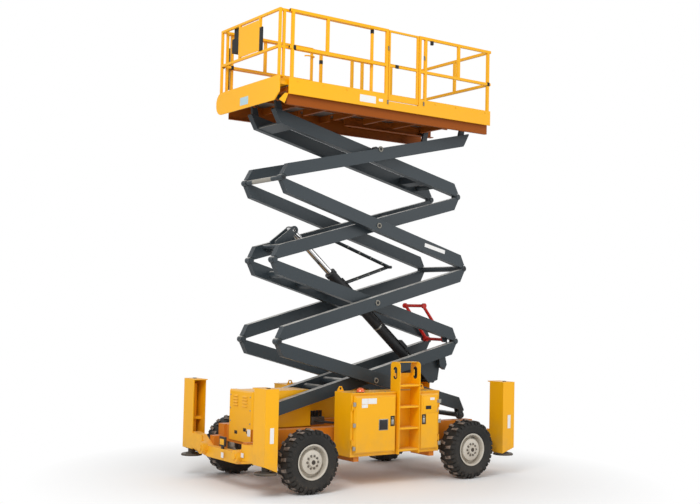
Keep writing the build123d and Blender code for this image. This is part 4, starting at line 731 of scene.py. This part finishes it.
def near_doors():
    """Blank plates and badge, control panel and its window on the ladder side's doors."""
    body = "cabinet_door_near_front"
    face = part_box(body)[0].y
    plates = Shape()
    for low_x, high_x, low_z, high_z in (
            (-0.572, -0.470, 1.148, 1.225), (-0.466, -0.316, 1.148, 1.225), (-0.572, -0.470, 1.098, 1.144)):
        plates.block((low_x, face - 0.0012, low_z), (high_x, face + 0.0005, high_z), 0.0004, 1)
    plates.piece("door_plates_white", body, "yellow_paint", LABEL_WHITE)
    rim = Shape().block((-0.273, face - 0.003, 0.778), (-0.113, face + 0.0005, 0.932), 0.002)
    rim.piece("door_badge_rim", body, "rod_steel", PLATED)
    blank = Shape().block((-0.265, face - 0.0042, 0.786), (-0.121, face - 0.002, 0.924), 0.001)
    blank.piece("door_badge_blank", body, "black_metal")
    body = "cabinet_door_near_rear"
    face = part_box(body)[0].y
    panel = Shape().block((0.512, face - 0.005, 0.985), (0.772, face + 0.0005, 1.222), 0.002)
    panel.piece("control_panel_door", body, "yellow_paint")
    window = Shape().block((0.560, face - 0.009, 1.040), (0.660, face - 0.004, 1.090), 0.002)
    window.piece("control_panel_window", body, "black_plastic")
    blank_plate("control_panel_plate", body, (0.640, face - 0.0062, 1.168), (0.722, face - 0.004, 1.204))
    hinge = Shape()
    for z in (1.020, 1.150):
        hinge.rod((0.776, face - 0.004, z - 0.022), (0.776, face - 0.004, z + 0.022), 0.005)
    hinge.piece("control_panel_hinge", body, "rod_steel", PLATED)


near_doors()

CABINET_ROOF = 1.30
LADDER_GAP = (0.02, 0.49)     # the near roof's edge has no bolts behind the ladder


def cabinet_fittings():
    """Flashing lamp on its base, and the bolts along the cabinets' roofs."""
    low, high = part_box("cabinet_near")
    lamp_x, lamp_y = -0.50, -0.915
    lamp = Shape().turned((lamp_x, lamp_y, CABINET_ROOF), (lamp_x, lamp_y, CABINET_ROOF + 0.07), [
        (0, 0), (0, 0.058), (0.010, 0.060), (0.020, 0.056), (0.040, 0.050), (0.054, 0.036), (0.062, 0.016),
        (0.064, 0)], 32)
    lamp.piece("flashing_lamp", "chassis", "red_paint", BEACON_AMBER)
    base = Shape().ring((lamp_x, lamp_y, CABINET_ROOF - 0.001), (lamp_x, lamp_y, CABINET_ROOF + 0.007),
                        0.055, 0.066)
    base.piece("flashing_lamp_base", "chassis", "black_plastic")
    places = []
    for side in SIDES:
        for index in range(9):
            x = low.x + 0.06 + index * (high.x - low.x - 0.12) / 8
            if side > 0 or not LADDER_GAP[0] < x < LADDER_GAP[1]:
                places.append(((x, side * 0.975, CABINET_ROOF), (0, 0, 1)))
    bolts("cabinet_roof_bolts", "chassis", PLATED, places, 0.012, 0.006)


cabinet_fittings()


# ---- ladder, cover, beams and towers ----
FIRST_STEP = 0.498
STEP_RISE = 0.300
COVER_FACE = -1.877
BEAM_FACE = -2.176
JACK_Y = 1.03


def chassis_fittings():
    """Step treads, blank plates, sockets, lamp and bolts fixed to the lower machine."""
    low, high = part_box("ladder")
    for index in range(4):
        top = FIRST_STEP + STEP_RISE * index
        tread(f"step_tread_{index + 1}", "chassis", YELLOW,
              (low.x + 0.03, low.y + 0.03, top), (high.x - 0.03, -0.885, top), 0.030, 0.018, 0.0020)
    front = COVER_FACE
    blank_plate("cover_plate", "chassis", (front - 0.0015, -0.290, 0.690), (front + 0.0005, -0.205, 0.785))
    places = [((front, y, z), (-1, 0, 0)) for y in (-0.27, 0.27) for z in (0.86, 1.04, 1.22)]
    bolts("cover_bolts", "chassis", PLATED, places, 0.013, 0.006)
    sockets = Shape()
    for y, z in ((0.111, 0.714), (-0.129, 0.768)):
        sockets.block((front + 0.001, y - 0.040, z - 0.022), (front + 0.008, y + 0.040, z + 0.022), 0.002)
        sockets.rod((front + 0.006, y, z), (front - 0.004, y, z), 0.017, 24, 0.002)
    sockets.piece("cover_sockets", "chassis", "black_plastic")
    latch = Shape().block((front - 0.006, -0.200, 0.722), (front + 0.0005, -0.185, 0.765), 0.002)
    latch.piece("cover_latch", "chassis", "black_plastic")
    for name, low_y, low_z, high_y, high_z in (
            ("centre", -0.100, 0.402, -0.030, 0.474), ("near", -0.640, 0.470, -0.570, 0.530)):
        blank_plate(f"beam_plate_{name}", "chassis", (BEAM_FACE - 0.0012, low_y, low_z),
                    (BEAM_FACE + 0.0004, high_y, high_z))
    lamp = Shape().block((-2.150, -0.078, 0.548), (-2.118, 0.078, 0.676), 0.005)
    lamp.block((-2.146, -0.030, 0.505), (-2.124, 0.030, 0.552), 0.003)
    lamp.piece("beam_lamp_frame", "chassis", "black_plastic")
    lens = Shape().block((-2.154, -0.056, 0.568), (-2.148, 0.056, 0.646), 0.002)
    lens.piece("beam_lamp_lens", "chassis", "yellow_paint")
    tower_low, tower_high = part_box("outrigger_towers")
    for end, sign in (("front", -1), ("rear", 1)):
        x_outer = tower_low.x if sign < 0 else tower_high.x
        x_mid = x_outer - sign * 0.105
        places = []
        for side, side_name in SIDES.items():
            outer = side * tower_high.y
            blank_plate(f"tower_plate_{end}_{side_name}", "chassis", (x_mid - 0.030, outer - 0.0004, 0.705),
                        (x_mid + 0.030, outer + side * 0.0012, 0.905))
            plug = Shape().rod((x_mid, side * JACK_Y, 1.399), (x_mid, side * JACK_Y, 1.408), 0.030, 24, 0.004)
            plug.piece(f"tower_plug_{end}_{side_name}", "chassis", "black_plastic")
            for z in (0.47, 0.53, 0.59):
                for y in (0.62, 0.78):
                    places.append(((x_outer - sign * 0.013, side * y, z), (sign, 0, 0)))
        bolts(f"beam_bolts_{end}", "chassis", PLATED, places, 0.022, 0.010)


chassis_fittings()

LADDER_BACK = -0.860
EDGING_RADIUS = 0.034     # of the edging's middle line, round the hole's ends
HAND_HOLE_HALF = 0.045    # half the distance between the ends' centres
HAND_HOLE_DROP = 0.155    # from the ladder's top down to the hole's middle


def hand_hole_edging():
    """Black edging round the long hand holes of the ladder's sides."""
    low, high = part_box("ladder")
    middle_y = (low.y + LADDER_BACK) / 2
    middle_z = high.z - HAND_HOLE_DROP
    edging = Shape()
    for x in (low.x + 0.006, high.x - 0.006):
        points = []
        for index in range(25):
            angle = 2 * math.pi * index / 24
            rise = HAND_HOLE_HALF if math.sin(angle) >= 0 else -HAND_HOLE_HALF
            points.append((x, middle_y + EDGING_RADIUS * math.cos(angle),
                           middle_z + rise + EDGING_RADIUS * math.sin(angle)))
        edging.tube(points, 0.011)
    edging.piece("hand_hole_edging", "chassis", "black_plastic")


hand_hole_edging()

BARREL_RADIUS = 0.076


def barrel_hose():
    """Hose and its clips along the lift cylinder's barrel."""
    foot = place_of("lift_cylinder_pivot")
    run = Vector(JOINTS["lift_cylinder_stroke"]["axis"]).normalized()
    up = Vector((run.z, 0.0, -run.x))
    near = Vector((0.0, -1.0, 0.0))
    out = (up + near * 0.8).normalized()
    hose = Shape().tube([foot + run * share + out * (BARREL_RADIUS + rise) for share, rise in (
        (0.20, 0.008), (0.50, 0.014), (0.90, 0.012), (1.30, 0.014), (1.70, 0.012), (2.10, 0.012))], 0.009)
    hose.piece("barrel_hose", "lift_cylinder_barrel", "black_plastic", HOSE_RUBBER)
    clips = Shape()
    for share in (0.40, 1.10, 1.80):
        point = foot + run * share
        clips.ring(point - run * 0.012, point + run * 0.012, BARREL_RADIUS + 0.0004, BARREL_RADIUS + 0.0024)
    clips.piece("barrel_clips", "lift_cylinder_barrel", "rod_steel", PLATED)


barrel_hose()


# ---- platform and sliding deck ----
PLATFORM_PIN = 5.351613
DECK_TOP = PLATFORM_PIN + 0.085 + 0.023    # the floor's top above the pin, then the deck on it
TOE_FACE = 0.856
RAIL_GAP = 0.504                           # from the top rail down to the middle one


def platform_fittings():
    """Tread pattern, blank plates, end plugs, knobs, controls and the bolts of the toe boards."""
    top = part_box("platform_floor")[1].z
    tread("platform_tread", "platform", DARK_STEEL, (-0.23, -0.73, top), (1.84, 0.73, top))
    tread("deck_tread", "extension", DARK_STEEL,
          (-1.78, -0.74, DECK_TOP), (-0.36, 0.74, DECK_TOP))
    for name, low_x, low_z, high_x, high_z in (
            ("large", -0.575, 5.368, -0.293, 5.470), ("small", -0.240, 5.410, -0.168, 5.450)):
        blank_plate(f"toe_plate_{name}", "platform", (low_x, -TOE_FACE - 0.0012, low_z),
                    (high_x, -TOE_FACE + 0.0004, high_z))
    end_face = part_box("extension_deck")[0].x
    blank_plate("end_plate_label", "extension", (end_face - 0.0012, -0.057, 5.272),
                (end_face + 0.0004, 0.170, 5.385), LABEL_BLUE)
    places = []
    for side in SIDES:
        for x in (-1.62, -1.20, -0.80, 0.80, 1.20, 1.80):
            places.append(((x, side * TOE_FACE, 5.50), (0, side, 0)))
    bolts("toe_board_bolts", "platform", YELLOW, places, 0.014, 0.007)
    rail_low, rail_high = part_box("platform_rails_near")
    top_rail = rail_high.z - 0.020
    mid_rail = top_rail - RAIL_GAP
    knobs = Shape()
    for x, y, z in ((-1.674, -0.836, mid_rail), (-0.117, 0.836, mid_rail + 0.34)):
        knobs.rod((x, y, z - 0.030), (x, y, z + 0.030), 0.030, 20, 0.004)
    knobs.rod((0.740, -0.836, top_rail - 0.075), (0.740, -0.836, top_rail - 0.018), 0.026, 20, 0.004)
    knobs.block((1.842, -0.860, mid_rail - 0.030), (1.892, -0.812, mid_rail + 0.030), 0.006)
    knobs.piece("rail_knobs", "platform", "black_plastic")
    strip = Shape().block((-1.760, 0.822, 5.630), (-1.738, 0.850, 6.250), 0.004)
    strip.piece("far_guide_strip", "platform", "black_plastic")
    ear = Shape().prism([(x, -0.834, z) for x, z in (
        (-1.795, 5.325), (-1.744, 5.325), (-1.800, 5.185), (-1.885, 5.225))], Vector((0, 0.012, 0)))
    ear.piece("toe_board_ear", "platform", "yellow_paint")
    hinges = Shape()
    for x, z in ((-0.084, 6.200), (-0.084, 5.420), (0.580, 6.160), (0.580, 5.480)):
        hinges.rod((x, -0.861, z - 0.030), (x, -0.861, z + 0.030), 0.010, 16, 0.002)
    hinges.piece("gate_post_barrels", "platform", "rod_steel", DARK_STEEL)
    rear_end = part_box("extension_rails")[1].x
    knobs = Shape()
    for x, y, z in ((rear_end - 0.017, -0.782, top_rail - 0.045), (-1.86, 0.799, mid_rail)):
        knobs.rod((x, y, z - 0.028), (x, y, z + 0.028), 0.026, 20, 0.004)
    knobs.rod((-1.723, 0.782, mid_rail - 0.026), (-1.723, 0.782, mid_rail + 0.026), 0.028, 20, 0.004)
    knobs.piece("extension_knobs", "extension", "black_plastic")
    cover_low, cover_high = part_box("control_cover")
    strip = Shape().block((cover_low.x, -0.374, 5.970), (cover_high.x + 0.010, -0.2985, 6.300), 0.003)
    strip.piece("control_cover_strip", "extension", "black_plastic")
    handle = Shape().tube([(x, y, top_rail - 0.125) for x, y in (
        (-0.300, 0.770), (-0.300, 0.735), (-0.380, 0.725), (-0.460, 0.735), (-0.460, 0.770))], 0.011)
    handle.piece("extension_handle", "extension", "yellow_paint")
    gate_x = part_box("platform_gate")[0].x
    latch = Shape().block((gate_x + 0.130, -0.862, mid_rail - 0.026),
                          (gate_x + 0.185, -0.845, mid_rail + 0.026), 0.004)
    latch.piece("gate_latch", "gate", "black_plastic")
    box_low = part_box("control_box")[0]
    body_top = box_low.z + 0.205
    stick_x, stick_y = box_low.x + 0.060, box_low.y + 0.14
    stick = Shape().turned((stick_x, stick_y, body_top), (stick_x, stick_y, body_top + 0.11), [
        (0, 0), (0, 0.024), (0.010, 0.022), (0.022, 0.012), (0.040, 0.009), (0.050, 0.014), (0.085, 0.017),
        (0.098, 0.012), (0.100, 0)], 20)
    stick.piece("control_stick", "extension", "black_plastic", HOSE_RUBBER)
    for name, shift, radius, material in (
            ("stop", -0.07, 0.015, RED_PAINT), ("horn", 0.06, 0.010, LABEL_WHITE),
            ("lift", 0.09, 0.010, LABEL_BLUE)):
        y = stick_y + shift
        button = Shape()
        button.rod((stick_x, y, body_top - 0.001), (stick_x, y, body_top + 0.018), radius, 20, 0.003)
        button.piece(f"control_button_{name}", "extension", "red_paint", material)
    plugs = Shape()
    for x in (rail_low.x, rail_high.x):
        for z in (top_rail, mid_rail):
            for side in SIDES:
                plugs.block((x - 0.0005, side * 0.819, z - 0.017), (x + 0.0005, side * 0.853, z + 0.017))
    plugs.piece("rail_plugs", "platform", "black_plastic")


platform_fittings()


# ---- hoses ----
LINK_END = 0.023      # radius of a link's round ends


def hose_runs():
    """Two hoses clipped along each link of the hose carrier."""
    across = Vector((0.0, 1.0, 0.0))
    for name, direction in (("lower", 1), ("upper", -1)):
        body = f"hose_link_{name}"
        low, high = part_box(body)
        start_z, end_z = low.z + LINK_END, high.z - LINK_END
        if direction < 0:
            start_z, end_z = end_z, start_z
        y = (low.y + high.y) / 2 if name == "upper" else high.y - 0.017
        run = Vector((high.x - low.x - 2 * LINK_END, 0, end_z - start_z)).normalized()
        normal = Vector((-run.z, 0, run.x)) * direction
        start = Vector((low.x + LINK_END, y, start_z)) + run * 0.07
        end = Vector((high.x - LINK_END, y, end_z)) - run * 0.07
        hoses = Shape()
        for shift in (-0.0085, 0.0085):
            points = [start.lerp(end, index / 6) + normal * 0.026 + across * shift for index in range(7)]
            hoses.tube(points, 0.0075)
        hoses.piece(f"carrier_hoses_{name}", body, "black_plastic", HOSE_RUBBER)
        clips = Shape()
        for index in range(5):
            point = start.lerp(end, (index + 0.5) / 5)
            clips.ring(point + run * -0.008, point + run * 0.008, 0.0172, 0.0205, 20)
            clips.block(point + normal * 0.018 - across * 0.018 - run * 0.006,
                        point + normal * 0.020 + across * 0.018 + run * 0.006)
        clips.piece(f"carrier_clips_{name}", body, "rod_steel", PLATED)


hose_runs()


# ---- hydraulic block ----
def valve_block():
    """Manifold with its solenoids and hoses on the frame behind the cover."""
    block_low, block_high = Vector((-0.80, -0.16, 0.79)), Vector((-0.58, 0.10, 0.90))
    manifold = Shape().block(block_low, block_high, 0.004)
    manifold.piece("valve_manifold", "chassis", "black_metal", DARK_STEEL)
    solenoids = Shape()
    for index in range(4):
        x = block_low.x + 0.03 + index * 0.053
        solenoids.rod((x, -0.10, block_high.z), (x, -0.10, block_high.z + 0.085), 0.021, 20, 0.003)
        solenoids.rod((x, 0.04, block_high.z), (x, 0.04, block_high.z + 0.060), 0.017, 20, 0.003)
    solenoids.piece("valve_solenoids", "chassis", "black_plastic")
    hoses = Shape()
    for index in range(3):
        x = block_low.x + 0.045 + index * 0.06
        hoses.tube([(x + run, block_low.y - out, z) for run, out, z in (
            (0, 0, 0.845), (0, 0.06, 0.848), (0.05, 0.10, 0.835), (0.22, 0.12, 0.812), (0.50, 0.12, 0.808))],
            0.0095)
    hoses.piece("valve_hoses", "chassis", "black_plastic", HOSE_RUBBER)


valve_block()


# ---- light, floor and backdrop ----
WHITE = (1.0, 1.0, 1.0, 1.0)


def studio():
    """Light, a white world and a floor that fades into it."""
    scene = bpy.context.scene
    scene.view_settings.view_transform = "Standard"
    world = bpy.data.worlds.new("world")
    scene.world = world
    world.use_nodes = True
    world.node_tree.nodes.clear()
    tree = Tree(world.node_tree)
    light = tree.add("ShaderNodeBackground", {"Color": WHITE, "Strength": 0.62})
    seen = tree.add("ShaderNodeBackground", {"Color": WHITE, "Strength": 1.0})
    path = tree.add("ShaderNodeLightPath")
    shown = tree.math("MAXIMUM", path.outputs["Is Camera Ray"], path.outputs["Is Glossy Ray"])
    blend = tree.add("ShaderNodeMixShader", {0: shown, 1: light.outputs[0], 2: seen.outputs[0]})
    output = tree.add("ShaderNodeOutputWorld")
    tree.link(blend.outputs[0], output.inputs[0])

    def area(name, place, target, size, power):
        data = bpy.data.lights.new(name, "AREA")
        data.size = size
        data.energy = power
        lamp = bpy.data.objects.new(name, data)
        scene.collection.objects.link(lamp)
        lamp.location = place
        lamp.rotation_euler = (Vector(target) - Vector(place)).to_track_quat("-Z", "Y").to_euler()

    area("key_light", (-9.0, -7.0, 10.0), (0.0, 0.0, 3.0), 5.0, 800.0)
    area("fill_light", (8.0, -11.0, 5.0), (0.0, 0.0, 2.5), 6.0, 260.0)

    material, tree, shader = start_material("floor_white")
    shader.inputs["Base Color"].default_value = (0.95, 0.95, 0.95, 1.0)
    shader.inputs["Roughness"].default_value = 0.9
    white = tree.add("ShaderNodeEmission", {"Color": WHITE, "Strength": 1.0})
    path = tree.add("ShaderNodeLightPath")
    fade = tree.ramp(tree.vector("LENGTH", tree.place())["Value"], 2.2, 4.6)
    shown = tree.math("MULTIPLY", fade, path.outputs["Is Camera Ray"])
    blend = tree.add("ShaderNodeMixShader", {0: shown, 1: shader.outputs[0], 2: white.outputs[0]})
    output = next(node for node in material.node_tree.nodes if node.type == "OUTPUT_MATERIAL")
    tree.link(blend.outputs[0], output.inputs[0])
    mesh = bpy.data.meshes.new("floor")
    half = 60.0
    corners = [(-half, -half, 0), (half, -half, 0), (half, half, 0), (-half, half, 0)]
    mesh.from_pydata(corners, [], [(0, 1, 2, 3)])
    mesh.materials.append(material)
    floor = bpy.data.objects.new("floor", mesh)
    scene.collection.objects.link(floor)


studio()
